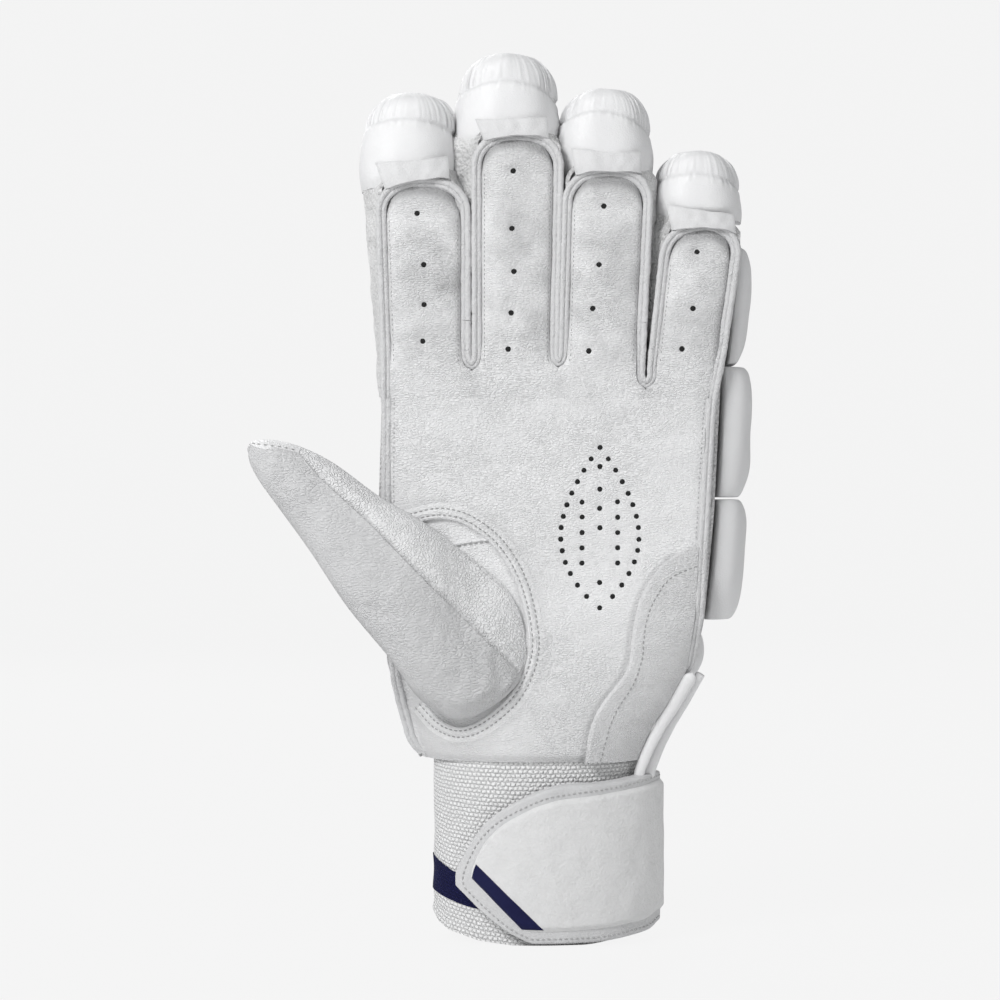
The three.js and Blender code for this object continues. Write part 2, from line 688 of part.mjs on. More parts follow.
// The thumb. Its own frame runs from the tip to the root, and across towards the fingers.

const thumbAlong = new THREE.Vector3(Math.cos(radians(thumbTurn)), 0, -Math.sin(radians(thumbTurn)));
const thumbAcross = new THREE.Vector3(Math.sin(radians(thumbTurn)), 0, Math.cos(radians(thumbTurn)));
const thumbTip = new THREE.Vector3(thumbTipX, 0, thumbTipZ);
const thumbPoint = (along, across, y) => thumbTip.clone()
  .addScaledVector(thumbAlong, along)
  .addScaledVector(thumbAcross, across)
  .setY(y);
const thumbMiddleY = thumbDeep / 2 - thumbRise;
const thumbCorner = 2.4;
const thumbSeamShares = [0.1, 0.8];
function thumbSection(along) {
  const share = along / thumbLong;
  const low = thumbWide * readAt(thumbShares, share, 1);
  const high = thumbWide * readAt(thumbShares, share, 2);
  const deep = (thumbDeep / 2) * readAt(thumbShares, share, 3);
  return { middle: (low + high) / 2, half: (high - low) / 2, deep };
}
function thumbRing(along, angle, wall) {
  const { middle, half, deep } = thumbSection(along);
  const [across, out] = rounded(angle, thumbCorner);
  return { across: middle + across * (half - wall), y: thumbMiddleY - out * (deep - wall) };
}

// How far along the thumb a line of its skin runs before it meets the plane of the thumb's hinge.
function thumbEnd(angle, wall) {
  const reach = (thumbHingeX - hingeGap - thumbTipX) / thumbAlong.x;
  let along = reach;
  for (let turn = 0; turn < 12; turn += 1) {
    along = reach - (thumbRing(along, angle, wall).across * thumbAcross.x) / thumbAlong.x;
  }
  return along;
}

// The angle at which the seam between leather and gusset runs along the thumb's front.
function seamAngle(along) {
  const { middle, half } = thumbSection(along);
  const share = THREE.MathUtils.clamp((thumbSeam - middle) / half, ...thumbSeamShares);
  return Math.acos(share ** (thumbCorner / 2));
}
const thumbBackAngle = radians(245);
const thumbSplit = radians(0.9);
const thumbSeamEndShare = 0.7;
function thumbSkin(stations, side, toHinge) {
  const columns = 10;
  const grid = (wall) => stations.map((station) => spread(0, 1, columns).map((share) => {
    const seam = seamAngle(toHinge ? mix(thumbJoint, thumbLong * thumbSeamEndShare, station) : station);
    const angle = side === 'leather'
      ? mix(seam + thumbSplit, thumbBackAngle - thumbSplit, share)
      : mix(thumbBackAngle - 2 * Math.PI + thumbSplit, seam - thumbSplit, share);
    const along = toHinge ? mix(thumbJoint + hingeGap, thumbEnd(angle, wall), station) : station;
    const { across, y } = thumbRing(along, angle, wall);
    return thumbPoint(along, across, y);
  }));
  return sheet(grid(0), grid(liningThick));
}
const tipStations = [0.8, 2.5, 5, 9, 14, 21, thumbJoint - hingeGap];
const baseStations = [0, 0.34, 0.67, 1];
const padTip = 3;
const padRoot = 60;
const padWideShare = 0.9;

function thumbPad(from, to) {
  const high = (along) => Math.min(
    thumbSection(along).middle + thumbSection(along).half,
    (thumbHingeX - hingeGap - thumbTipX - along * thumbAlong.x) / thumbAcross.x,
  );
  const low = (along) => thumbSection(along).middle - thumbSection(along).half;
  return roll({
    from,
    to,
    middle: (along) => (high(along) + low(along)) / 2,
    halfWide: (along) => ((high(along) - low(along)) / 2) * padWideShare,
    deep: thumbPadDeep,
    place: (across, out, along) => thumbPoint(along, across, thumbMiddleY + thumbDeep / 2 + seamGap + out),
  });
}
const thumbBase = new THREE.Group();
glove.add(thumbBase);
add(thumbBase, 'thumb_base_leather', thumbSkin(baseStations, 'leather', true), 'leather');
add(thumbBase, 'thumb_base_gusset', thumbSkin(baseStations, 'gusset', true), 'leather');
add(thumbBase, 'thumb_base_pad', thumbPad(thumbJoint + hingeGap, padRoot), 'paddedSkin');
const thumbEndGroup = new THREE.Group();
thumbBase.add(thumbEndGroup);
add(thumbEndGroup, 'thumb_tip_leather', thumbSkin(tipStations, 'leather', false), 'leather');
add(thumbEndGroup, 'thumb_tip_gusset', thumbSkin(tipStations, 'gusset', false), 'leather');
add(thumbEndGroup, 'thumb_tip_pad', thumbPad(padTip, thumbJoint - hingeGap), 'paddedSkin');

// The mound that carries the thumb: a leather dome sewn to the palm along its round edge.
const moundCorner = 2.2;
const moundReachShare = 0.985;
const moundEndShare = 0.9;
function thumbMound() {
  const grid = (wall) => spread(0, 1, 9).map((turn) => {
    const share = Math.sin((turn * Math.PI) / 2) * moundReachShare;
    const low = moundEdge(moundLowShares, share);
    const high = moundEdge(moundHighShares, share);
    const rise = thumbRise * readAt(moundRiseShares, share);
    return spread(Math.PI, 0, 12).map((angle) => {
      const [across, out] = rounded(angle, moundCorner);
      const z = (low + high) / 2 + across * Math.max((high - low) / 2 - wall, wall);
      const foot = pipingRise - seamGap;
      const inset = share > moundEndShare ? wall / 2 : 0;
      return new THREE.Vector3(moundX(share) - inset, foot - out * (rise - wall), z);
    });
  });
  return sheet(grid(0), grid(liningThick));
}
add(glove, 'thumb_surround', thumbMound(), 'leather');

export default glove;
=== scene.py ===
# %% [markdown]
# # A batting glove in soft white leather
# This lesson dresses the imported glove. The imported solids give every place and size. Each soft solid is
# replaced by a fuller piece: leather with piped edges, stuffed rolls, towelling sides, a knitted cuff and a
# strap. Lengths in the tables are in millimetres, in the glove's own frame: x to the right, y from the
# palm's front plane towards the back of the hand, and z up from the cuff's rim.

# %% Load the frame and bake each part's placement into its mesh
import math

import bmesh
import bpy
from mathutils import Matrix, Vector, noise


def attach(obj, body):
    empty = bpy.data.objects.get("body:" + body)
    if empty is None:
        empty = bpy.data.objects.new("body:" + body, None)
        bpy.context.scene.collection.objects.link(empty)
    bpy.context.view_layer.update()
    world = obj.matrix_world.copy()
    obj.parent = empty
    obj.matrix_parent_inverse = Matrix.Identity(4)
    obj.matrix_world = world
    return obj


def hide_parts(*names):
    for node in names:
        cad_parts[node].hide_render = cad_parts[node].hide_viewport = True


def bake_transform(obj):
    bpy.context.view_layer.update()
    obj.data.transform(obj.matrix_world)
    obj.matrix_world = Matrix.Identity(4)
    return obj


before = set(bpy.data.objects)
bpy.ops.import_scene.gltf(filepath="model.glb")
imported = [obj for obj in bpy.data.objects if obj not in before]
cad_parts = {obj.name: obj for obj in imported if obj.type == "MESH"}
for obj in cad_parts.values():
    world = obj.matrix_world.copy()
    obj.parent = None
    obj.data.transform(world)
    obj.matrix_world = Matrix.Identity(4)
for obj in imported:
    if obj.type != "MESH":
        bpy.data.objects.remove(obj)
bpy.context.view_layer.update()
mm = 0.001
glove_shift = Vector((-1.05, -19.8, 0.0))
hand = "hand"

# %% [markdown]
# ## Camera, light and ground
# The photograph looks level at the palm from about nine tenths of a metre, so a longish lens at that
# distance keeps its perspective. One large soft lamp from the upper left, a weaker one from the right and
# an even world give soft shading with colours at the level they are written. The ground and backdrop show
# the photograph's pale grey to the camera and still take a faint shadow.

# %% Camera
view_distance = 900.0
view_height = 138.57
camera_data = bpy.data.cameras.new("camera")
camera_data.lens = 104.5
camera_data.sensor_width = 36
camera_data.clip_end = 20
camera = bpy.data.objects.new("camera", camera_data)
camera.location = (glove_shift + Vector((0, -view_distance, view_height))) * mm
camera.rotation_euler = (math.pi / 2, 0, 0)
bpy.context.scene.collection.objects.link(camera)
bpy.context.scene.camera = camera
bpy.context.scene.view_settings.view_transform = "Standard"


# %% Lamps and world
def soft_lamp(name, place_from, size, power):
    data = bpy.data.lights.new(name, "AREA")
    data.shape = "DISK"
    data.size = size
    data.energy = power
    lamp = bpy.data.objects.new(name, data)
    lamp.location = place_from
    aim = Vector((0, 0, 0.14)) - lamp.location
    lamp.rotation_euler = aim.to_track_quat("-Z", "Y").to_euler()
    bpy.context.scene.collection.objects.link(lamp)
    return lamp


soft_lamp("key", Vector((-0.75, -0.95, 1.0)), 0.5, 13.6)
soft_lamp("fill", Vector((1.1, -0.9, 0.5)), 0.9, 1.3)
soft_lamp("back", Vector((-0.4, 1.3, 0.9)), 0.8, 7.5)
background_grey = 0.913
world = bpy.data.worlds.new("studio")
bpy.context.scene.world = world
world.use_nodes = True
world_nodes = world.node_tree.nodes
world_links = world.node_tree.links
world_nodes.clear()
seen = world_nodes.new("ShaderNodeBackground")
seen.inputs["Color"].default_value = (background_grey, background_grey, background_grey, 1)
lit = world_nodes.new("ShaderNodeBackground")
lit.inputs["Color"].default_value = (0.98, 0.99, 1, 1)
lit.inputs["Strength"].default_value = 0.38
world_mix = world_nodes.new("ShaderNodeMixShader")
world_out = world_nodes.new("ShaderNodeOutputWorld")
world_path = world_nodes.new("ShaderNodeLightPath")
world_links.new(world_path.outputs["Is Camera Ray"], world_mix.inputs["Fac"])
world_links.new(lit.outputs[0], world_mix.inputs[1])
world_links.new(seen.outputs[0], world_mix.inputs[2])
world_links.new(world_mix.outputs[0], world_out.inputs["Surface"])


# %% Ground and backdrop in one round bowl, so that every side has the same sweep behind it
def make_ground():
    floor_radius, bend, tall, sides = 2.4, 0.6, 1.3, 72
    profile = [(0.9, 0.0), (floor_radius, 0.0)]
    profile += [(floor_radius + bend * math.sin(a), bend - bend * math.cos(a))
                for a in [math.radians(15 * i) for i in range(1, 7)]]
    profile.append((floor_radius + bend, tall))
    verts = [(0, 0, 0)]
    for radius, z in profile:
        verts += [(radius * math.cos(2 * math.pi * k / sides), radius * math.sin(2 * math.pi * k / sides), z)
                  for k in range(sides)]
    faces = [(0, 1 + k, 1 + (k + 1) % sides) for k in range(sides)]
    for ring in range(len(profile) - 1):
        low, high = 1 + ring * sides, 1 + (ring + 1) * sides
        faces += [(low + k, high + k, high + (k + 1) % sides, low + (k + 1) % sides) for k in range(sides)]
    mesh = bpy.data.meshes.new("ground")
    mesh.from_pydata(verts, [], faces)
    mesh.polygons.foreach_set("use_smooth", [True] * len(mesh.polygons))
    ground = bpy.data.objects.new("ground", mesh)
    bpy.context.scene.collection.objects.link(ground)
    material = bpy.data.materials.new("ground")
    material.use_nodes = True
    nodes, links = material.node_tree.nodes, material.node_tree.links
    bsdf = nodes["Principled BSDF"]
    bsdf.inputs["Base Color"].default_value = (0.9, 0.9, 0.9, 1)
    bsdf.inputs["Roughness"].default_value = 0.9
    glow = nodes.new("ShaderNodeEmission")
    glow.inputs["Color"].default_value = (background_grey, background_grey, background_grey, 1)
    mix = nodes.new("ShaderNodeMixShader")
    path = nodes.new("ShaderNodeLightPath")
    share = nodes.new("ShaderNodeMath")
    share.operation = "MULTIPLY"
    share.inputs[1].default_value = 0.975
    links.new(path.outputs["Is Camera Ray"], share.inputs[0])
    links.new(share.outputs[0], mix.inputs["Fac"])
    links.new(bsdf.outputs[0], mix.inputs[1])
    links.new(glow.outputs[0], mix.inputs[2])
    links.new(mix.outputs[0], nodes["Material Output"].inputs["Surface"])
    ground.data.materials.append(material)
    print("ground made")


make_ground()

# %% [markdown]
# ## Shared shader groups
# Several finishes need the same effects, so each effect is a group that is built once: fine leather grain,
# a looped towelling pile, a knitted weave, and a faint tone of handled leather that also carries painted
# shade. A group gives heights and colours only. The Principled shader stays in each material.

# %% Helpers for node groups
GROUPS = {}


def start_group(name, inputs, outputs):
    tree = bpy.data.node_groups.new(name, "ShaderNodeTree")
    for socket_name, kind, value in inputs:
        socket = tree.interface.new_socket(socket_name, in_out="INPUT", socket_type=kind)
        if value is not None:
            socket.default_value = value
    for socket_name, kind in outputs:
        tree.interface.new_socket(socket_name, in_out="OUTPUT", socket_type=kind)
    GROUPS[name] = tree
    return tree, tree.nodes.new("NodeGroupInput"), tree.nodes.new("NodeGroupOutput")


def node(tree, kind, inputs=None, **settings):
    made = tree.nodes.new(kind)
    for key, value in settings.items():
        setattr(made, key, value)
    for key, value in (inputs or {}).items():
        if isinstance(value, bpy.types.NodeSocket):
            tree.links.new(value, made.inputs[key])
        else:
            made.inputs[key].default_value = value
    return made


def math_node(tree, operation, first, second=0.0, third=0.0):
    return node(tree, "ShaderNodeMath", {0: first, 1: second, 2: third}, operation=operation).outputs[0]


FLOAT, VECTOR, COLOUR = "NodeSocketFloat", "NodeSocketVector", "NodeSocketColor"

# %% Leather grain: stretched cells, bent by a slow noise and worn smooth in patches
tree, source, result = start_group(
    "leather grain",
    [("Vector", VECTOR, None), ("Cells", FLOAT, 900.0), ("Stretch", FLOAT, 0.45), ("Crease", FLOAT, 0.5)],
    [("Height", FLOAT)],
)
slow = node(tree, "ShaderNodeTexNoise", {"Vector": source.outputs["Vector"], "Scale": 60.0, "Detail": 2.0})
bend = node(tree, "ShaderNodeVectorMath", {0: slow.outputs["Color"], 1: (0.5, 0.5, 0.5)},
            operation="SUBTRACT")
bend = node(tree, "ShaderNodeVectorMath", {0: bend.outputs[0], "Scale": 0.0042}, operation="SCALE")
bent = node(tree, "ShaderNodeVectorMath", {0: source.outputs["Vector"], 1: bend.outputs[0]}, operation="ADD")
stretch = node(tree, "ShaderNodeCombineXYZ", {"X": source.outputs["Stretch"], "Y": 1.0, "Z": 1.0})
stretched = node(tree, "ShaderNodeVectorMath", {0: bent.outputs[0], 1: stretch.outputs[0]},
                 operation="MULTIPLY")
cells = node(tree, "ShaderNodeTexVoronoi", {"Vector": stretched.outputs[0], "Scale": source.outputs["Cells"]},
             feature="DISTANCE_TO_EDGE")
ridge = node(tree, "ShaderNodeMapRange", {"Value": cells.outputs["Distance"], "From Max": 0.3},
             interpolation_type="SMOOTHSTEP")
creases = node(tree, "ShaderNodeTexNoise", {"Vector": stretched.outputs[0], "Scale": source.outputs["Cells"],
                                            "Detail": 2.0, "Distortion": 0.6})
grain_mix = node(tree, "ShaderNodeMix", {0: source.outputs["Crease"], 2: ridge.outputs[0],
                                         3: creases.outputs["Fac"]},
                 data_type="FLOAT")
worn = node(tree, "ShaderNodeTexNoise", {"Vector": source.outputs["Vector"], "Scale": 38.0, "Detail": 2.0})
worn = node(tree, "ShaderNodeMapRange", {"Value": worn.outputs["Fac"], "From Min": 0.38, "From Max": 0.62,
                                         "To Min": 0.6}, interpolation_type="SMOOTHSTEP")
tree.links.new(math_node(tree, "MULTIPLY", grain_mix.outputs[0], worn.outputs[0]), result.inputs["Height"])

# %% Towelling pile: small rounded loops in uneven rows
tree, source, result = start_group(
    "looped pile", [("Vector", VECTOR, None), ("Loops", FLOAT, 900.0)], [("Height", FLOAT)])
sway = node(tree, "ShaderNodeTexNoise", {"Vector": source.outputs["Vector"], "Scale": 260.0, "Detail": 2.0})
swayed = node(tree, "ShaderNodeVectorMath", {0: sway.outputs["Color"], "Scale": 0.0016}, operation="SCALE")
swayed = node(tree, "ShaderNodeVectorMath", {0: swayed.outputs[0], 1: source.outputs["Vector"]},
              operation="ADD")
loops = node(tree, "ShaderNodeTexVoronoi", {"Vector": swayed.outputs[0], "Scale": source.outputs["Loops"],
                                            "Smoothness": 0.4}, feature="SMOOTH_F1")
loop_height = math_node(tree, "SUBTRACT", 1.0, loops.outputs["Distance"])
tree.links.new(loop_height, result.inputs["Height"])

# %% Knit: rows of slanted loops, from a map in millimetres
tree, source, result = start_group(
    "knit",
    [("Vector", VECTOR, None), ("Wale", FLOAT, 1.55), ("Course", FLOAT, 1.15)],
    [("Height", FLOAT)],
)
uneven = node(tree, "ShaderNodeTexNoise", {"Vector": source.outputs["Vector"], "Scale": 0.9, "Detail": 2.0})
uneven = node(tree, "ShaderNodeVectorMath", {0: uneven.outputs["Color"], "Scale": 0.9}, operation="SCALE")
uneven = node(tree, "ShaderNodeVectorMath", {0: uneven.outputs[0], 1: source.outputs["Vector"]},
              operation="ADD")
parts = node(tree, "ShaderNodeSeparateXYZ", {0: uneven.outputs[0]})
wale = math_node(tree, "DIVIDE", parts.outputs["X"], source.outputs["Wale"])
course = math_node(tree, "DIVIDE", parts.outputs["Y"], source.outputs["Course"])
half_step = math_node(tree, "MULTIPLY", math_node(tree, "FLOOR", course), 0.5)
across = math_node(tree, "FRACT", math_node(tree, "ADD", wale, half_step))
across = math_node(tree, "SINE", math_node(tree, "MULTIPLY", across, math.pi))
upward = math_node(tree, "SINE", math_node(tree, "MULTIPLY", math_node(tree, "FRACT", course), math.pi))
knit_height = math_node(tree, "POWER", math_node(tree, "MULTIPLY", across, upward), 0.55)
tree.links.new(knit_height, result.inputs["Height"])

# %% Tone of handled leather and painted shade: slow clouds between two close colours, and the toned colour where the open share is low
tree, source, result = start_group(
    "handled tone and painted shade",
    [("Vector", VECTOR, None), ("Clean", COLOUR, (0.8, 0.8, 0.8, 1)), ("Toned", COLOUR, (0.6, 0.6, 0.6, 1)),
     ("Clouds", FLOAT, 45.0), ("Share", FLOAT, 0.5), ("Cavity", FLOAT, 1.0)],
    [("Color", COLOUR), ("Rough", FLOAT)],
)
clouds = node(tree, "ShaderNodeTexNoise", {"Vector": source.outputs["Vector"],
                                           "Scale": source.outputs["Clouds"], "Detail": 4.0,
                                           "Roughness": 0.6})
spread = node(tree, "ShaderNodeMapRange", {"Value": clouds.outputs["Fac"], "From Min": 0.35,
                                           "From Max": 0.75},
              interpolation_type="SMOOTHSTEP")
toned = math_node(tree, "MULTIPLY", spread.outputs[0], source.outputs["Share"])
# Painted shade: where the open share is low, the colour goes towards the toned one
hollow = math_node(tree, "SUBTRACT", 1.0, source.outputs["Cavity"])
toned = node(tree, "ShaderNodeClamp", {"Value": math_node(tree, "ADD", toned, hollow)}).outputs[0]
mixed = node(tree, "ShaderNodeMix", {0: toned, 6: source.outputs["Clean"], 7: source.outputs["Toned"]},
             data_type="RGBA")
tree.links.new(mixed.outputs[2], result.inputs["Color"])
tree.links.new(math_node(tree, "MULTIPLY", toned, 0.12), result.inputs["Rough"])
print("shader groups:", ", ".join(GROUPS))

# %% [markdown]
# ## Finishes
# Each finish takes the shared groups with its own values. Leather and coated skin read Object coordinates,
# because their grain has no direction. The knit reads the map that every sheet carries in millimetres. The
# open_share attribute, written on each mesh, says how open a place is: where it is low, in creases and
# beside seams, painted shade darkens the white a little.


# %% A finish from its colours and its gloss, and the relief laid on it
def new_finish(name, clean, toned, rough, share=0.5, clouds=45.0, sheen=0.0):
    material = bpy.data.materials.new(name)
    material.use_nodes = True
    tree = material.node_tree
    bsdf = tree.nodes["Principled BSDF"]
    place_source = node(tree, "ShaderNodeTexCoord").outputs["Object"]
    tone = node(tree, "ShaderNodeGroup", node_tree=GROUPS["handled tone and painted shade"])
    tree.links.new(place_source, tone.inputs["Vector"])
    tone.inputs["Clean"].default_value = (*clean, 1)
    tone.inputs["Toned"].default_value = (*toned, 1)
    tone.inputs["Clouds"].default_value = clouds
    tone.inputs["Share"].default_value = share
    # The open_share attribute drives painted shade: where it is low, the colour goes towards the toned one
    painted_shade_map = node(tree, "ShaderNodeAttribute", attribute_name="open_share")
    tree.links.new(painted_shade_map.outputs["Fac"], tone.inputs["Cavity"])
    tree.links.new(tone.outputs["Color"], bsdf.inputs["Base Color"])
    tree.links.new(math_node(tree, "ADD", tone.outputs["Rough"], rough), bsdf.inputs["Roughness"])
    bsdf.inputs["Specular IOR Level"].default_value = 0.35
    bsdf.inputs["Sheen Weight"].default_value = sheen
    bsdf.inputs["Sheen Roughness"].default_value = 0.5
    return material, tree, bsdf, place_source


def relief(tree, bsdf, height, depth, under=None):
    bump = node(tree, "ShaderNodeBump", {"Height": height, "Strength": 1.0, "Distance": depth})
    if under:
        tree.links.new(under.outputs[0], bump.inputs["Normal"])
    tree.links.new(bump.outputs[0], bsdf.inputs["Normal"])
    return bump


def shade_grain(tree, height, amount):
    """The low places of a relief get a little painted shade as well."""
    tone = next(made for made in tree.nodes
                if made.type == "GROUP" and made.node_tree == GROUPS["handled tone and painted shade"])
    hollow = tone.inputs["Cavity"].links[0].from_socket
    low = math_node(tree, "MULTIPLY_ADD", height, amount, 1 - amount)
    tree.links.new(math_node(tree, "MULTIPLY", hollow, low), tone.inputs["Cavity"])


def use_group(tree, name, vector, **values):
    made = node(tree, "ShaderNodeGroup", node_tree=GROUPS[name])
    tree.links.new(vector, made.inputs["Vector"])
    for key, value in values.items():
        made.inputs[key].default_value = value
    return made


def grey(level, blue=0.0):
    return level, level, level + blue


def off_white(level):
    """A grey with a breath of blue."""
    return grey(level, 0.005)


def leather_finish(name, clean, toned, rough, cells, stretch, crease, depth, share, grain_shade):
    material, tree, bsdf, vector = new_finish(name, off_white(clean), off_white(toned), rough, share)
    grain = use_group(tree, "leather grain", vector, Cells=cells, Stretch=stretch, Crease=crease)
    fine = node(tree, "ShaderNodeTexNoise", {"Vector": vector, "Scale": 2600.0, "Detail": 2.0})
    under = relief(tree, bsdf, fine.outputs["Fac"], 0.00004)
    relief(tree, bsdf, grain.outputs["Height"], depth, under)
    shade_grain(tree, grain.outputs["Height"], grain_shade)
    return material


# Name, clean and toned levels (painted shade darkens towards the toned one), roughness, grain cells, stretch,
# crease, relief in metres, toned share, grain's painted shade
LEATHERS = [
    ("palm leather", 0.87, 0.45, 0.5, 1500.0, 0.45, 0.3, 0.00029, 0.05, 0.19),
    ("finger leather", 0.85, 0.4, 0.5, 1550.0, 0.4, 0.35, 0.00036, 0.06, 0.26),
    ("thumb leather", 0.65, 0.4, 0.48, 1150.0, 0.45, 0.3, 0.00034, 0.05, 0.15),
    ("gusset leather", 0.9, 0.5, 0.5, 1000.0, 0.9, 0.1, 0.00042, 0.05, 0.15),
    ("web leather", 0.87, 0.5, 0.5, 1250.0, 0.7, 0.2, 0.0002, 0.05, 0.1),
    ("coated skin", 0.83, 0.55, 0.48, 1300.0, 0.9, 0.5, 0.00005, 0.05, 0.05),
    ("roll skin", 0.78, 0.5, 0.48, 1300.0, 0.9, 0.5, 0.00006, 0.08, 0.05),
    ("strap skin", 0.65, 0.45, 0.5, 900.0, 0.9, 0.5, 0.00016, 0.1, 0.1),
    # The tabs' coated skin is darker than the caps', as painted shade
    ("tab skin in painted shade", 0.73, 0.55, 0.55, 1200.0, 0.8, 0.5, 0.0001, 0.1, 0.1),
    ("piping leather", 0.66, 0.5, 0.55, 900.0, 1.0, 0.6, 0.00035, 0.2, 0.2),
]
(palm_white, front_white, thumb_white, gusset_white, web_white, skin_white, roll_white, strap_white,
 tab_shaded_white, piping_white) = [leather_finish(*row) for row in LEATHERS]


# %% Towelling, tape and knit share one recipe
def woven_finish(group, name, clean, toned, rough, share, clouds, sheen, depth, shade=0.0, **values):
    """The group's height gives the relief, and shade tones its low places."""
    material, tree, bsdf, vector = new_finish(name, clean, toned, rough, share, clouds, sheen)
    if group == "knit":
        vector = node(tree, "ShaderNodeUVMap", uv_map="millimetres").outputs[0]
    height = use_group(tree, group, vector, **values).outputs["Height"]
    relief(tree, bsdf, height, depth)
    if shade:
        shade_grain(tree, height, shade)
    return material, bsdf


navy = (0.008, 0.009, 0.05)
navy_light = (0.011, 0.013, 0.065)
navy_specular = 0.15
towel_white = woven_finish("looped pile", "towelling", grey(0.76), grey(0.44), 0.9, 0.5, 90.0, 0.3, 0.0007,
                           0.35)[0]
knit_white = woven_finish("knit", "knitted cuff", grey(0.91), off_white(0.5), 0.75, 0.08, 70.0, 0.2, 0.0006,
                          0.32)[0]
tape_white = woven_finish("looped pile", "touch tape", grey(0.7), grey(0.55), 0.9, 0.6, 200.0, 0.3, 0.0005,
                          Loops=1400.0)[0]
navy_knit, bsdf = woven_finish("knit", "navy knit", navy, navy_light, 0.8, 0.6, 200.0, 0.0, 0.0004)
bsdf.inputs["Specular IOR Level"].default_value = navy_specular

# %% Felt, thread, the navy film and the shade in the vents
felt_white, tree, bsdf, vector = new_finish("strap felt", grey(0.75), grey(0.62), 0.85, 0.3, 300.0, 0.3)
nap = node(tree, "ShaderNodeTexNoise", {"Vector": vector, "Scale": 900.0, "Detail": 4.0})
relief(tree, bsdf, nap.outputs["Fac"], 0.0003)

thread_white, tree, bsdf, vector = new_finish("thread", grey(0.5), grey(0.42), 0.6, 0.5, 400.0, 0.2)
twist = node(tree, "ShaderNodeTexWave", {"Vector": vector, "Scale": 900.0, "Distortion": 1.0})
relief(tree, bsdf, twist.outputs["Fac"], 0.00008)

navy_film, tree, bsdf, vector = new_finish("navy film", navy, navy_light, 0.5, 0.5, 300.0)
bsdf.inputs["Specular IOR Level"].default_value = navy_specular
nap = node(tree, "ShaderNodeTexNoise", {"Vector": vector, "Scale": 1100.0, "Detail": 3.0})
relief(tree, bsdf, nap.outputs["Fac"], 0.00008)

# Thread for the seams: dark as painted shade of the needle holes and the groove it lies in
shaded_seam_thread = new_finish("seam thread in painted shade", grey(0.38), grey(0.32), 0.8, 0.5, 400.0)[0]
hole_dark = new_finish("vent shade", grey(0.012), grey(0.03), 0.9, 0.5, 900.0)[0]
print("finishes:", ", ".join(sorted(material.name for material in bpy.data.materials)))

# %% [markdown]
# ## Tools for soft pieces
# Nearly every piece is a grid of points: rows that run along the piece and columns that run round or across
# it. One helper makes the mesh, writes its map in millimetres and turns its faces outwards. Another makes a
# round cord of leather along a path, and a third writes how open each vertex is, for the painted shade in
# the creases.


# %% Curves through tables of points
def mix(a, b, share):
    return a + (b - a) * share


def ease(value, low, high):
    share = min(max((value - low) / (high - low), 0.0), 1.0)
    return share * share * (3 - 2 * share)


def read_at(rows, place, column=1):
    if place <= rows[0][0]:
        return rows[0][column]
    for before, after in zip(rows, rows[1:]):
        if place <= after[0]:
            return mix(before[column], after[column], (place - before[0]) / (after[0] - before[0]))
    return rows[-1][column]


def smooth_path(points, step):
    """An even, rounded path through the points, with a point about every step."""
    points = [Vector(point) for point in points]
    ends = [points[0] * 2 - points[1]] + points + [points[-1] * 2 - points[-2]]
    dense = []
    for i in range(len(points) - 1):
        a, b, c, d = ends[i:i + 4]
        parts = 12
        for k in range(parts):
            t = k / parts
            dense.append(0.5 * (2 * b + (c - a) * t + (2 * a - 5 * b + 4 * c - d) * t * t
                                + (3 * b - a - 3 * c + d) * t * t * t))
    dense.append(points[-1])
    lengths = [0.0]
    for first, second in zip(dense, dense[1:]):
        lengths.append(lengths[-1] + (second - first).length)
    count = max(int(round(lengths[-1] / step)), 2)
    path = []
    j = 0
    for i in range(count + 1):
        target = lengths[-1] * i / count
        while j < len(lengths) - 2 and lengths[j + 1] < target:
            j += 1
        share = (target - lengths[j]) / max(lengths[j + 1] - lengths[j], 1e-9)
        path.append(dense[j].lerp(dense[j + 1], min(share, 1.0)))
    return path


def rounded(angle, corner):
    """One point of a rounded oblong: 2 is an ellipse, and higher corners are squarer."""
    across, out = math.cos(angle), math.sin(angle)
    power = 2 / corner
    return math.copysign(abs(across) ** power, across), math.copysign(abs(out) ** power, out)


def rough(point, size, depth):
    """Slow unevenness of hand-sewn leather: size is the width of a wave and depth its height."""
    return noise.noise(point / size) * depth


def spaced(start, end, count):
    return [mix(start, end, i / count) for i in range(count + 1)]


def flat_path(pairs, step):
    """A smooth path through places x and z, at depth 0."""
    return smooth_path([(x, 0, z) for x, z in pairs], step)


def grid(outer, inner, point):
    """Rows of points from a function of two values."""
    return [[point(first, second) for second in inner] for first in outer]


def half_turn(share):
    """Goes from 0 to 1 like a half turn seen from the side, slowly at both ends."""
    return (1 - math.cos(math.pi * share)) / 2


# %% Meshes from rows of points
def to_frame(place):
    """A place in the glove's millimetres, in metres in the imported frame."""
    return (Vector(place) + glove_shift) * mm


def mark_open(mesh, values=None):
    """Writes how open each vertex is, which is fully open where no values are given."""
    layer = mesh.attributes.get("open_share") or mesh.attributes.new("open_share", "FLOAT", "POINT")
    layer.data.foreach_set("value", values or [1.0] * len(mesh.vertices))


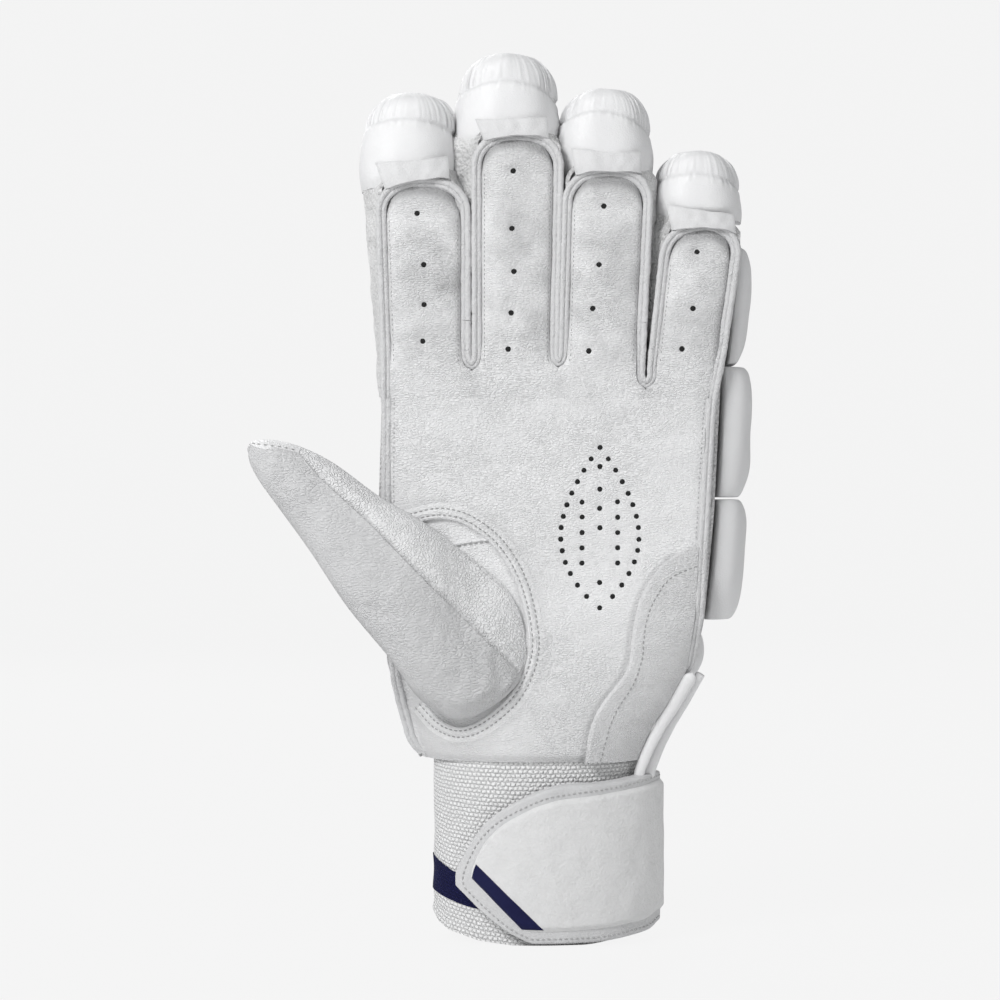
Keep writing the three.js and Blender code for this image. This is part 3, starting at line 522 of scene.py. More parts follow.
def build(name, verts, faces, finish, outward=None, uv=None):
    """A mesh from points in the glove's frame. Open sheets face away from the point outward."""
    mesh = bpy.data.meshes.new(name)
    mesh.from_pydata([to_frame(point) for point in verts], [], faces)
    if uv:
        layer = mesh.uv_layers.new(name="millimetres")
        for loop in mesh.loops:
            layer.data[loop.index].uv = uv[loop.vertex_index]
    work = bmesh.new()
    work.from_mesh(mesh)
    bmesh.ops.recalc_face_normals(work, faces=work.faces)
    if outward is not None:
        middle = to_frame(outward)
        total = sum(face.normal.dot(face.calc_center_median() - middle) * face.calc_area()
                    for face in work.faces)
        if total < 0:
            bmesh.ops.reverse_faces(work, faces=work.faces)
    elif work.calc_volume(signed=True) < 0:
        bmesh.ops.reverse_faces(work, faces=work.faces)
    work.to_mesh(mesh)
    work.free()
    mesh.polygons.foreach_set("use_smooth", [True] * len(mesh.polygons))
    mark_open(mesh)
    mesh.materials.append(finish)
    made = bpy.data.objects.new(name, mesh)
    bpy.context.scene.collection.objects.link(made)
    return made


def shade_by(piece, open_at):
    """Writes how open each place is, so that the finish paints shade on what lies in a crease or under a
    seam.
    """
    mark_open(piece.data, [open_at(vertex.co / mm - glove_shift) for vertex in piece.data.vertices])


def from_rows(name, rows, finish, ring=False, closed=False, outward=None):
    """A sheet through rows of points, or a closed tube where ring and closed are set."""
    count = len(rows[0])
    verts = [Vector(point) for row in rows for point in row]
    faces = []
    for i in range(len(rows) - 1):
        for j in range(count if ring else count - 1):
            k = (j + 1) % count
            faces.append((i * count + j, i * count + k, (i + 1) * count + k, (i + 1) * count + j))
    uv = []
    middle_row = rows[len(rows) // 2]
    widths = [0.0]
    for first, second in zip(middle_row, middle_row[1:]):
        widths.append(widths[-1] + (Vector(second) - Vector(first)).length)
    heights = [0.0]
    for first, second in zip(rows, rows[1:]):
        heights.append(heights[-1] + (Vector(second[count // 2]) - Vector(first[count // 2])).length)
    for height in heights:
        uv.extend((width, height) for width in widths)
    if closed:
        for row in (0, len(rows) - 1):
            centre = sum((Vector(point) for point in rows[row]), Vector()) / count
            verts.append(centre)
            uv.append((0.0, heights[row]))
            for j in range(count):
                faces.append((row * count + j, row * count + (j + 1) % count, len(verts) - 1))
    return build(name, verts, faces, finish, outward, uv)


def face_away(piece, inside, by_area=False):
    """Turns a sheet's faces outwards, judged from a place inside it."""
    middle = to_frame(inside)
    total = sum(face.normal.dot(face.center - middle) * (face.area if by_area else 1)
                for face in piece.data.polygons)
    if total < 0:
        piece.data.flip_normals()


# Thickness of each sheet in millimetres
THICK = {"leather": 1.2, "towelling": 1.3, "cap": 2.2, "tab": 0.9, "thumb": 1.1, "rim": 0.5, "fold": 0.5,
         "web": 0.3, "heel": 0.9, "cuff": 1.8, "border": 1.9, "panel": 0.9, "anchor": 2.0, "tape": 0.9,
         "stripe": 0.15}


def finish_piece(piece, sheet=None, smooth=0):
    """Applies a sheet's thickness and smoothing, and leaves a plain mesh."""
    if sheet:
        solid = piece.modifiers.new("thickness", "SOLIDIFY")
        solid.thickness = THICK[sheet] * mm
        solid.offset = -1
        solid.use_even_offset = False
    if smooth:
        fine = piece.modifiers.new("smooth", "SUBSURF")
        fine.levels = smooth
        fine.render_levels = smooth
    if piece.modifiers:
        view = bpy.context.evaluated_depsgraph_get()
        plain = bpy.data.meshes.new_from_object(piece.evaluated_get(view))
        piece.modifiers.clear()
        old = piece.data
        piece.data = plain
        plain.name = piece.name
        bpy.data.meshes.remove(old)
    piece.data.polygons.foreach_set("use_smooth", [True] * len(piece.data.polygons))
    if sheet:
        piece.data.set_sharp_from_angle(angle=math.radians(55))
    return piece


def cord_rows(path, radius, sides, flat):
    """Rings of points round a path, for welts. Radius is a function of the share along the path."""
    rows = []
    for i, point in enumerate(path):
        along = (path[min(i + 1, len(path) - 1)] - path[max(i - 1, 0)]).normalized()
        side = along.cross(Vector((0, -1, 0))).normalized()
        front = side.cross(along).normalized()
        size = radius(i / (len(path) - 1))
        rows.append([point + side * math.cos(2 * math.pi * j / sides) * size
                     + front * math.sin(2 * math.pi * j / sides) * size * flat for j in range(sides)])
    return rows


print("tools ready")

# %% [markdown]
# ## The leather's ground plan
# The palm and the four finger fronts are cut from one hide. Their edges are tables of heights and places,
# and one function says how deep the leather lies anywhere: flat under the fingers, round over the wrist,
# with slow folds. Because all the sheets ask the same function, they meet without a step where one piece
# ends and the next begins.

# %% Edges of the palm and the cuff's size
palm_left = [(57, -23.6), (59.2, -24.6), (62.6, -26.6), (73.5, -29.6), (81.5, -31.3), (88.7, -32.0),
             (112, -33.2), (141, -34.1), (163.4, -33.9), (175, -33.9)]
palm_right = [(57, 42.6), (68, 47.5), (78, 54), (85, 57.6), (89.6, 58.4), (102.9, 60.5), (136.4, 62.4),
              (163.4, 63.9), (175, 65.0)]
# Places that a sheet's outside faces away from
behind_palm, behind_fingers = (12, 200, 120), (20, 300, 200)
behind_thumb, inside_hand = (0, 200, 100), (12, 18, 120)
cuff_x, cuff_y, cuff_half_wide, cuff_half_deep, cuff_top, wrist_rise = 12.0, 23.4, 33.5, 21.0, 65.0, 44.0
hem_z, join_z, knuckle_z = 57.0, 170.0, 175.0
hem_half_wide, hem_half_deep = 35.3, 22.8
flat_y = 0.6


def wrist_share(z):
    return ease(cuff_top + wrist_rise - z, 0.0, wrist_rise - flat_y)


def palm_width(z):
    return read_at(palm_right, z) - read_at(palm_left, z) + 6.5


def plain_depth(x, z):
    """The palm's plain form: flat at the fingers and oval at the wrist."""
    widen = palm_width(z) / palm_width(hem_z)
    left = read_at(palm_left, z) - 3.3
    centre = left + (cuff_x - read_at(palm_left, hem_z) + 3.3) * widen
    across = min(abs(x - centre) / (hem_half_wide * widen), 0.98)
    return mix(flat_y, cuff_y - hem_half_deep * math.sqrt(1 - across * across), wrist_share(z))


# Vents: each finger has its own row, and the palm has a plain symmetric group of a ring and a column.
FINGER_VENTS = {
    "index": [(-25.7, 227.5), (-23.6, 211.4), (-23.6, 199.0), (-23.9, 187.9)],
    "middle": [(4.0, 240.6), (3.7, 222.6), (4.3, 209.3), (3.4, 196.5), (2.5, 185.4)],
    "ring": [(32.2, 229.7), (30.7, 211.4), (28.8, 197.8), (27.6, 184.8)],
    "little": [(61.1, 215.5), (59.8, 197.8), (56.4, 185.4)],
}
vent_group_x, vent_group_z, vent_group_wide, vent_group_tall = 31.0, 130.0, 13.2, 25.0
PALM_VENTS = []


def add_palm_vent(across, share):
    PALM_VENTS.append((vent_group_x + across * vent_group_wide,
                       vent_group_z + vent_group_tall * (2 * share - 1)))


for side in (-1, 1):
    for share in spaced(0.0, 1.0, 14)[1:-1]:
        bow = math.sin(math.pi * share) ** 0.85 * (1.12 - 0.42 * share)
        add_palm_vent(side * bow, share)
    for share in spaced(0.28, 0.66, 4):
        add_palm_vent(side * 0.42, share)
for share in (0.0, 0.16, 0.5, 0.62, 0.74, 0.88, 1.0):
    add_palm_vent(0.0, share)


def folds(x, z):
    """Slow folds and small creases in the hide."""
    point = Vector((x * 0.8, z * 1.15, 3.0))
    deep = rough(point, 17.0, 0.75) + rough(point, 7.0, 0.3) + rough(point, 3.1, 0.12)
    return deep + rough(Vector((x * 0.45, z * 1.5, 9.0)), 1.7, 0.05)


def leather_depth(x, z):
    hollow = 1.3 * math.exp(-(((x - 16) / 24) ** 2 + ((z - 118) / 26) ** 2))
    cushion = -0.9 * math.exp(-((z - 160) / 9) ** 2)
    edge_left = max(0.0, 1 - (x - read_at(palm_left, z)) / 5.0)
    edge_right = max(0.0, 1 - (read_at(palm_right, z) - x) / 5.0)
    turn = 0.6 * (edge_left ** 2 + edge_right ** 2)
    return plain_depth(x, z) + hollow + cushion + turn + folds(x, z) - 0.2


print("palm is", round(palm_width(120), 1), "mm wide across its middle")

# %% The thumb's seam on the palm, as a path, and how far a place is from it
thumb_arc = flat_path([
    (-36, 124), (-31, 129.5), (-25.4, 131.8), (-18, 133), (-9.9, 130.8), (-1.2, 123.9), (5.3, 113),
    (8.7, 99.5), (8.7, 89.6), (4, 78.7), (-4.7, 70.7), (-12.1, 67.6), (-18.5, 69.5), (-24, 75)], 1.0)


def arc_distance(x, z):
    """Signed distance to the thumb's seam: positive outside it, on the palm."""
    best, signed = 1e9, 1.0
    for first, second in zip(thumb_arc[::3], thumb_arc[3::3]):
        dx, dz = second.x - first.x, second.z - first.z
        t = min(max(((x - first.x) * dx + (z - first.z) * dz) / (dx * dx + dz * dz), 0.0), 1.0)
        ox, oz = x - first.x - dx * t, z - first.z - dz * t
        far = ox * ox + oz * oz
        if far < best:
            best, signed = far, dx * oz - dz * ox
    return math.copysign(math.sqrt(best), signed)


def palm_depth(x, z):
    """The palm with the web sunk a little inside the thumb's opening."""
    deep = leather_depth(x, z)
    if -36 < x < 14 and 60 < z < 139:
        deep += 0.45 * ease(-arc_distance(x, z), -0.2, 1.4)
    for vent_x, vent_z in PALM_VENTS:
        away = (x - vent_x) ** 2 + (z - vent_z) ** 2
        if away < 9:
            deep += 0.4 * math.exp(-away / 1.3)
    return deep


def lifted(x, z, lift):
    """A point set off the palm's surface by a distance, square to it."""
    dx = (palm_depth(x + 0.4, z) - palm_depth(x - 0.4, z)) / 0.8
    dz = (palm_depth(x, z + 0.4) - palm_depth(x, z - 0.4)) / 0.8
    long = math.sqrt(1 + dx * dx + dz * dz)
    return Vector((x + dx / long * lift, palm_depth(x, z) - lift / long, z + dz / long * lift))


# %% The palm leather
HEEL_EDGE = [(57, 26.3), (66, 27.6), (73.5, 30.4), (80.6, 35.7), (84.5, 38.6), (88.7, 40.2), (96.1, 40.9),
             (104.8, 42.5), (110, 44.4), (113.8, 46.5), (117.6, 49.4), (120.9, 53.3), (123, 57),
             (124.6, 61.6)]
hem_roll_tall, hem_roll_deep = 2.2, 1.6
PIECES = {}


def palm_point(z, share):
    x = mix(read_at(palm_left, z), read_at(palm_right, z), share)
    hem_roll = ease(hem_z + hem_roll_tall - z, 0.0, hem_roll_tall) * hem_roll_deep
    return x, palm_depth(x, z) + hem_roll, z


def keep(piece, body, slot, *nodes):
    """A finished piece rides on the named body, or has its transform baked where a bend is given, hides the
    CAD nodes it stands for and is listed in PIECES. The slot is not used.
    """
    if nodes:
        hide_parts(*nodes)
    if isinstance(body, str):
        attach(piece, body)
    else:
        first, second, start, end = body
        to_frame(start)
        to_frame(end)
        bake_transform(piece)
    PIECES[piece.name] = piece
    return piece


def palm_open(point):
    """Painted shade on the hide: darker towards the wrist, by its edges, across the knuckle line, round the
    thumb's opening and beside the heel patch's edge.
    """
    x, z = point.x, point.z
    low = 0.2 * ease(110 - z, 0, 50)
    edge = 0.15 * (1 - ease(min(x - read_at(palm_left, z), read_at(palm_right, z) - x), 0.0, 3.0))
    web = 0.13 * math.exp(-((z - 168) / 9) ** 2)
    ring = 0.0
    if -36 < x < 20 and 55 < z < 145:
        away = arc_distance(x, z)
        ring = 0.18 * math.exp(-((away - 4.5) / 2.0) ** 2)
    beside_heel = 0.5 * math.exp(-((x - read_at(HEEL_EDGE, z) + 0.9) / 0.8) ** 2) if z < 122 else 0.0
    return 1 - min(low + edge + ring + web + beside_heel, 0.85)


palm_grid = grid(spaced(hem_z, join_z, 126), spaced(0.0, 1.0, 112), palm_point)
palm = from_rows("palm_leather_front", palm_grid, palm_white, outward=behind_palm)
shade_by(palm, palm_open)
keep(finish_piece(palm, "leather"), hand, "leather", "palm_leather")
print("palm leather:", len(palm.data.polygons), "faces")

# %% [markdown]
# ## Finger fronts and their piping
# Every finger front is a strip with a round top. A rolled strip of the same hide is sewn round it. Two such
# rolls meet in a narrow U where fingers part. The strips bend at two joints, so each front is made as two
# sheets: the lower one from the hand to the finger's base, the upper one from the base to the tip.

# %% Tables of the fingers
FINGERS = {
    "index": {"joint": 30.3, "cut": 194.5, "top": 236.0, "bend": 16.0,
              "left": [(170, -34.1), (185, -34.2), (237, -36.0)], "right": [(185, -11.9), (237, -12.0)],
              "back_x": (-25.1, -27.7), "back_wide": (24.6, 29.8), "long": 63.0, "cap": 26.3},
    "middle": {"joint": 37.9, "cut": 196.0, "top": 250.4, "bend": 16.0,
               "left": [(185, -5.9), (250, -6.0)], "right": [(185, 15.7), (250, 17.1)],
               "back_x": (2.9, 3.1), "back_wide": (30.0, 30.6), "long": 77.3, "cap": 24.6},
    "ring": {"joint": 30.6, "cut": 194.5, "top": 239.1, "bend": 16.0,
             "left": [(185, 20.9), (240, 22.4)], "right": [(180, 42.2), (240, 45.1)],
             "back_x": (33.0, 33.6), "back_wide": (27.2, 28.2), "long": 66.5, "cap": 24.6},
    "little": {"joint": 17.0, "cut": 184.5, "top": 222.3, "bend": 9.0,
               "left": [(180, 48.6), (213, 52.2), (223, 53.3)],
               "right": [(170, 64.6), (185, 67.6), (216, 72.2), (223, 72.9)], "back_x": (59.6, 61.5),
               "back_wide": (22.2, 25.8), "long": 49.4, "cap": 21.9},
}
WEBS = {"index": (None, (-8.8, 179.0)), "middle": ((-8.8, 179.0), (18.1, 179.9)),
        "ring": ((18.1, 179.9), (45.2, 173.4)), "little": ((45.2, 173.4), None)}
web_round = 4.5
arch_drop = 9.0


def finger_edge(name, side, z):
    """Where the leather ends at a height: at the web's middle below it, and at the piping above it."""
    finger = FINGERS[name]
    edge = read_at(finger[side], z)
    web = WEBS[name][0 if side == "left" else 1]
    if web is None or z > web[1] + web_round:
        return edge
    if z <= web[1]:
        return web[0]
    share = 1 - (z - web[1]) / web_round
    return mix(web[0], edge, math.sqrt(1 - share * share))


def finger_edges(name, z):
    return finger_edge(name, "left", z), finger_edge(name, "right", z)


def finger_x(name, z, u):
    """A place across the finger: u is -1 at its left edge and 1 at its right."""
    return mix(*finger_edges(name, z), (u + 1) / 2)


def arch(u):
    return arch_drop * (1 - (1 - min(abs(u), 1.0) ** 2.4) ** (1 / 2.4))


def finger_depth(name, x, z, u):
    """The finger's front: crowned across, tucked under the piping at its edges and its top."""
    finger = FINGERS[name]
    plump = ease(z, knuckle_z + 1, knuckle_z + 16)
    pads = 0.35 * math.cos(2 * math.pi * (z - FINGER_VENTS[name][0][1]) / 13.5) * (1 - u * u)
    crown = -1.3 + 1.4 * abs(u) ** 3 + 1.9 * abs(u) ** 16 + pads * ease(z, knuckle_z, knuckle_z + 12)
    below_top = finger["top"] - arch(u) - z
    tuck = 2.6 * (1 - ease(below_top, 0.0, 4.0))
    for vent_x, vent_z in FINGER_VENTS[name]:
        away = (x - vent_x) ** 2 + (z - vent_z) ** 2
        if away < 12:
            tuck += 0.55 * math.exp(-away / 1.6)
    return mix(leather_depth(x, z), flat_y + crown + folds(x, z), plump) + tuck


def finger_rows(name, low, high):
    """Rows from one height to another. Where high is None they follow the round top."""
    top = FINGERS[name]["top"]
    count = int(((high or top) - low) / 0.85)

    def point(share, u):
        z = mix(low, high or top - arch(u), share)
        x = finger_x(name, z, u)
        return x, finger_depth(name, x, z, u), z

    return grid(spaced(0.0, 1.0, count), spaced(-1.0, 1.0, 34), point)


def knuckle_bend(name):
    """The two bodies and the zone at a knuckle that a lower piece is kept with."""
    start = knuckle_z + 1.5
    return hand, f"{name}_base", (0, 0, start), (0, 0, start + FINGERS[name]["bend"])


def middle_bend(name):
    joint = knuckle_z + FINGERS[name]["joint"]
    half = FINGERS[name]["bend"] / 2
    start = max(joint - half, FINGERS[name]["cut"] + 0.5)
    return f"{name}_base", f"{name}_tip", (0, 0, start), (0, 0, joint + half)


# Lightens the finger fronts until they match the palm
front_match = 1.115


def front_open(name):
    """Painted shade on a finger's front: across the knuckle line, along its edges low down, under its arch,
    towards its right side and in the hollows between its soft pads; patches vary at random.
    """
    finger = FINGERS[name]

    def open_at(point):
        x, z = point.x, point.z
        left, right = finger_edges(name, z)
        u = 2 * (x - left) / max(right - left, 1) - 1
        rise = ease(z, knuckle_z - 3, knuckle_z + 17)
        web = 0.13 * math.exp(-((z - 168) / 9) ** 2)
        edge = 0.15 * (1 - ease(min(x - left, right - x), 0.0, 3.0)) if z < knuckle_z + 4 else 0.0
        below = finger["top"] - arch(u) - z
        under_arch = 0.85 * (1 - ease(below, 0.0, 6.5)) ** 1.4
        pads = 0.16 * math.exp(-((below - 27) / 8) ** 2) - 0.08 * math.exp(-((below - 15) / 5) ** 2)
        patch = rough(Vector((x, z, 7)), 8.0, 0.26) + rough(Vector((x, z, 2)), 3.5, 0.14)
        body = (0.14 + 0.14 * ease(u, -0.8, 0.5) + pads + patch) * rise
        return front_match * (1 - min(max(web + edge + under_arch + body, 0.0), 1.0))

    return open_at


for name in FINGERS:
    cut = FINGERS[name]["cut"]
    for part, low, high, bend, base in (("lower", join_z, cut, knuckle_bend(name), "base"),
                                        ("upper", cut, None, middle_bend(name), "tip")):
        front = from_rows(f"{name}_front_{part}", finger_rows(name, low, high), front_white,
                          outward=behind_fingers)
        shade_by(front, front_open(name))
        keep(finish_piece(front, "leather"), bend, "leather", f"{name}_{base}_leather")
print("finger fronts:", [piece for piece in PIECES if "front" in piece])


# %% Paths of the piping, one round each finger
def finger_outline(name, out):
    """The leather's edge from web to web, moved outwards by a distance."""
    finger = FINGERS[name]
    webs = WEBS[name]
    edge = []
    low_left, low_right = (web[1] if web else join_z - 1 for web in webs)
    side_top = finger["top"] - arch_drop
    out_of_web = [0.15 * k * k for k in range(6)]
    for z in [low_left + rise for rise in out_of_web] + spaced(low_left + web_round, side_top, 40):
        edge.append((finger_edge(name, "left", z), z))
    for angle in spaced(math.pi, 0.0, 30)[1:-1]:
        u = math.cos(angle)
        z = finger["top"] - arch(u)
        edge.append((finger_x(name, z, u), z))
    for z in spaced(side_top, low_right + web_round, 40) + [low_right + rise for rise in out_of_web[::-1]]:
        edge.append((finger_edge(name, "right", z), z))
    path = []
    for i, (x, z) in enumerate(edge):
        before, after = edge[max(i - 1, 0)], edge[min(i + 1, len(edge) - 1)]
        dx, dz = after[0] - before[0], after[1] - before[1]
        long = math.hypot(dx, dz) or 1.0
        path.append(Vector((x - dz / long * out, 0, z + dx / long * out)))
    return smooth_path(path, 1.0)


def split_at(path, height):
    """Cuts a path that rises and falls into its left leg, its arch and its right leg."""
    left = [i for i, point in enumerate(path) if point.z < height and i < len(path) / 2]
    right = [i for i, point in enumerate(path) if point.z < height and i > len(path) / 2]
    return path[:left[-1] + 2], path[left[-1] + 1:right[0] + 1], path[right[0]:]


print("index outline:", len(finger_outline("index", 1.3)), "points")

# %% [markdown]
# ## What repeats: piping, stitches and vents
# Three small Geometry Nodes trees do the repeating work. One sweeps a round profile along an edge path for
# the piping. One sets a thread stitch at even steps along a path. One sets a punched vent at each point.
# Each tree has named inputs and ends in Realize Instances and Set Material, and its result is turned into a
# plain mesh.


# %% A tree and how to run it
def start_tree(name, inputs):
    tree = bpy.data.node_groups.new(name, "GeometryNodeTree")
    tree.interface.new_socket("Geometry", in_out="INPUT", socket_type="NodeSocketGeometry")
    for socket_name, kind, value in inputs:
        socket = tree.interface.new_socket(socket_name, in_out="INPUT", socket_type=kind)
        if value is not None:
            socket.default_value = value
    tree.interface.new_socket("Geometry", in_out="OUTPUT", socket_type="NodeSocketGeometry")
    return tree, tree.nodes.new("NodeGroupInput"), tree.nodes.new("NodeGroupOutput")


def end_tree(tree, source, result, geometry):
    real = node(tree, "GeometryNodeRealizeInstances", {0: geometry})
    painted = node(tree, "GeometryNodeSetMaterial",
                   {"Geometry": real.outputs[0], "Material": source.outputs["Finish"]})
    smooth = node(tree, "GeometryNodeSetShadeSmooth", {"Geometry": painted.outputs[0]})
    tree.links.new(smooth.outputs[0], result.inputs[0])


def run_tree(name, tree, paths, finish, values, edges=True):
    """Makes path meshes, runs the tree on them and keeps the result as a plain mesh."""
    verts, lines = [], []
    for path in paths:
        lines += [(len(verts) + i, len(verts) + i + 1) for i in range(len(path) - 1)] if edges else []
        verts += [to_frame(point) for point in path]
    mesh = bpy.data.meshes.new(name)
    mesh.from_pydata(verts, lines, [])
    made = bpy.data.objects.new(name, mesh)
    bpy.context.scene.collection.objects.link(made)
    modifier = made.modifiers.new("repeat", "NODES")
    modifier.node_group = tree
    named = {item.name: item.identifier for item in tree.interface.items_tree if item.in_out == "INPUT"}
    modifier[named["Finish"]] = finish
    for key, value in values.items():
        modifier[named[key]] = value
    view = bpy.context.evaluated_depsgraph_get()
    plain = bpy.data.meshes.new_from_object(made.evaluated_get(view))
    made.modifiers.clear()
    made.data = plain
    plain.name = name
    mark_open(plain)
    bpy.data.meshes.remove(mesh)
    return made


MATERIAL = "NodeSocketMaterial"

# %% The piping tree: an even curve swept by a round profile
piping_tree, source, result = start_tree(
    "piping", [("Radius", FLOAT, 0.0014), ("Step", FLOAT, 0.001), ("Uneven", FLOAT, 0.001),
               ("Finish", MATERIAL, None)])
curve = node(piping_tree, "GeometryNodeMeshToCurve", {0: source.outputs["Geometry"]})
even = node(piping_tree, "GeometryNodeResampleCurve",
            {"Curve": curve.outputs[0], "Length": source.outputs["Step"]}, mode="LENGTH")
profile = node(piping_tree, "GeometryNodeCurvePrimitiveCircle",
               {"Radius": source.outputs["Radius"], "Resolution": 14})
swept = node(piping_tree, "GeometryNodeCurveToMesh",
             {"Curve": even.outputs[0], "Profile Curve": profile.outputs[0], "Fill Caps": True})
place = node(piping_tree, "GeometryNodeInputPosition")
uneven = node(piping_tree, "ShaderNodeTexNoise", {"Vector": place.outputs[0], "Scale": 420.0, "Detail": 2.0})
swell = node(piping_tree, "ShaderNodeMath", {0: uneven.outputs["Fac"], 1: 0.5}, operation="SUBTRACT")
swell = node(piping_tree, "ShaderNodeMath", {0: swell.outputs[0], 1: source.outputs["Uneven"]},
             operation="MULTIPLY")
normal = node(piping_tree, "GeometryNodeInputNormal")
push = node(piping_tree, "ShaderNodeVectorMath", {0: normal.outputs[0], "Scale": swell.outputs[0]},
            operation="SCALE")
wrinkled = node(piping_tree, "GeometryNodeSetPosition",
                {"Geometry": swept.outputs[0], "Offset": push.outputs[0]})
end_tree(piping_tree, source, result, wrinkled.outputs[0])

# %% The stitch tree: short lengths of thread at even steps
stitch_tree, source, result = start_tree(
    "stitches", [("Step", FLOAT, 0.0026), ("Length", FLOAT, 0.0017), ("Thread", FLOAT, 0.00028),
                 ("Finish", MATERIAL, None)])
curve = node(stitch_tree, "GeometryNodeMeshToCurve", {0: source.outputs["Geometry"]})
points = node(stitch_tree, "GeometryNodeCurveToPoints",
              {"Curve": curve.outputs[0], "Length": source.outputs["Step"]}, mode="LENGTH")
ball = node(stitch_tree, "GeometryNodeMeshUVSphere", {"Segments": 6, "Rings": 5, "Radius": 1.0})
size = node(stitch_tree, "ShaderNodeCombineXYZ", {"X": source.outputs["Thread"],
                                                  "Y": source.outputs["Thread"]})
half_long = node(stitch_tree, "ShaderNodeMath", {0: source.outputs["Length"], 1: 0.5}, operation="MULTIPLY")
stitch_tree.links.new(half_long.outputs[0], size.inputs["Z"])
placed = node(stitch_tree, "GeometryNodeInstanceOnPoints",
              {"Points": points.outputs["Points"], "Instance": ball.outputs["Mesh"],
               "Scale": size.outputs[0]})
stitch_tree.links.new(points.outputs["Rotation"], placed.inputs["Rotation"])
end_tree(stitch_tree, source, result, placed.outputs[0])

# %% The vent tree: a dark punched disc, domed a little so that it sits in its dimple
vent_tree, source, result = start_tree("vents", [("Radius", FLOAT, 0.0006), ("Finish", MATERIAL, None)])
disc = node(vent_tree, "GeometryNodeMeshUVSphere", {"Segments": 12, "Rings": 4, "Radius": 1.0})
size = node(vent_tree, "ShaderNodeCombineXYZ", {"X": source.outputs["Radius"], "Z": source.outputs["Radius"],
                                                "Y": 0.0002})
placed = node(vent_tree, "GeometryNodeInstanceOnPoints",
              {"Points": source.outputs["Geometry"], "Instance": disc.outputs["Mesh"],
               "Scale": size.outputs[0]})
end_tree(vent_tree, source, result, placed.outputs[0])
print("geometry trees:", piping_tree.name, stitch_tree.name, vent_tree.name)

# %% [markdown]
# ## Piping round the fingers and down the palm
# Piping on a real glove is a strip of the same leather folded over a cord and caught in the seam. Here two
# round cords run side by side along the edge, the outer one a little further forward, and a third lies over
# each arch.

# %% Finger piping, cut where the fronts are cut
pipe_radius = 0.98
pipe_inner, pipe_outer = 0.6, 2.0
pipe_step_back = 0.45


def edge_y(x, z):
    """Where the cord's middle lies in depth: with the palm below the knuckles and a bit back at the tips."""
    return mix(plain_depth(x, z) + 0.9, flat_y + 1.1, ease(z, knuckle_z - 2, knuckle_z + 10))


def lay_pipe(name, paths, finish, radius, bend, slot="leather"):
    made = run_tree(name, piping_tree, paths, finish,
                    {"Radius": radius * mm, "Step": 0.6 * mm, "Uneven": 0.6 * mm})
    return keep(made, bend, slot)


def arch_ridge(name):
    """A second fold over the arch: it parts from the piping at the shoulders and lies above it between."""
    finger = FINGERS[name]
    points = []
    for angle in spaced(math.pi * 1.04, -math.pi * 0.04, 40):
        u = max(min(math.cos(angle), 1.0), -1.0)
        grow = max(math.sin(angle), 0.0) ** 0.7
        above = 1.2 + 1.5 * grow if math.sin(angle) > 0 else -6.0 * abs(math.sin(angle))
        z = finger["top"] - arch(u) + above
        side = 1.9 * (1 - grow * 0.6)
        points.append((finger_x(name, z, u) + math.copysign(side, u) * abs(u), z, grow))
    return points


for name in FINGERS:
    legs = {"left": [], "top": [], "right": []}
    for out, back in ((pipe_inner, pipe_step_back), (pipe_outer, 0.0)):
        outline = finger_outline(name, out)
        outline = [Vector((point.x, edge_y(point.x, point.z) + back, point.z)) for point in outline]
        for key, leg in zip(("left", "top", "right"), split_at(outline, FINGERS[name]["cut"])):
            legs[key].append(leg)
    for key, paths in legs.items():
        bend = middle_bend(name) if key == "top" else knuckle_bend(name)
        lay_pipe(f"{name}_piping_{key}", paths, piping_white, pipe_radius, bend)
    ridge = [Vector((x, flat_y + 1.7 + 0.9 * (1 - grow), z)) for x, z, grow in arch_ridge(name)]
    lay_pipe(f"{name}_piping_fold", [smooth_path(ridge, 1.0)], piping_white, 1.0, middle_bend(name))
print("finger piping:", sum(len(piece.data.polygons) for key, piece in PIECES.items() if "piping" in key),
      "faces")

# %% Palm piping at both edges
def edge_path(table, side, low, high, out):
    points = []
    for z in spaced(low, high, 40):
        x = read_at(table, z) + side * out
        curl = 1 - ease(z, low, low + 4.0)
        points.append(Vector((x - side * 1.2 * curl, plain_depth(x, z) + 0.5 + 0.1 * out + 1.1 * curl, z)))
    return smooth_path(points, 1.0)


left_cords = [edge_path(palm_left, -1, hem_z + 0.9 + low, join_z, out)
              for out, low in ((pipe_inner, 0), (pipe_outer, 0.6))]
lay_pipe("palm_piping_left", left_cords, piping_white, pipe_radius, hand)
right_cords = [edge_path(palm_right, 1, 84, join_z, out) for out in (pipe_inner, pipe_outer)]
lay_pipe("palm_piping_right", right_cords, piping_white, pipe_radius, hand)

# %% [markdown]
# ## Towelling sides and lining
# Behind every leather front runs a sleeve of towelling that lets the hand breathe. It is a sheet bent to a
# C: it starts under the leather's edge, goes round the side and lies flat behind the finger, under the
# rolls.

# %% Sleeves of the fingers
lining_front, finger_back, hand_back = 2.1, 25.6, 33.6


def back_width(name, z):
    finger = FINGERS[name]
    share = (z - knuckle_z) / finger["long"]
    return mix(*finger["back_x"], share), mix(*finger["back_wide"], share) / 2


# How much wider a sleeve's side stands than its finger, and the heights between which that grows. The key
# says whether the side is the right one. The trims say how far below its top a sleeve's front edge starts
# to draw in.
SLEEVE_FLARES = {("index", False): (1.2, 160, 170), ("middle", False): (4.6, 222, 238),
                 ("little", False): (3.4, 178, 203), ("ring", True): (1.4, 180, 205)}
SLEEVE_TRIMS = {("index", True): 17, ("middle", True): 6, ("ring", True): 8, ("little", True): 6}


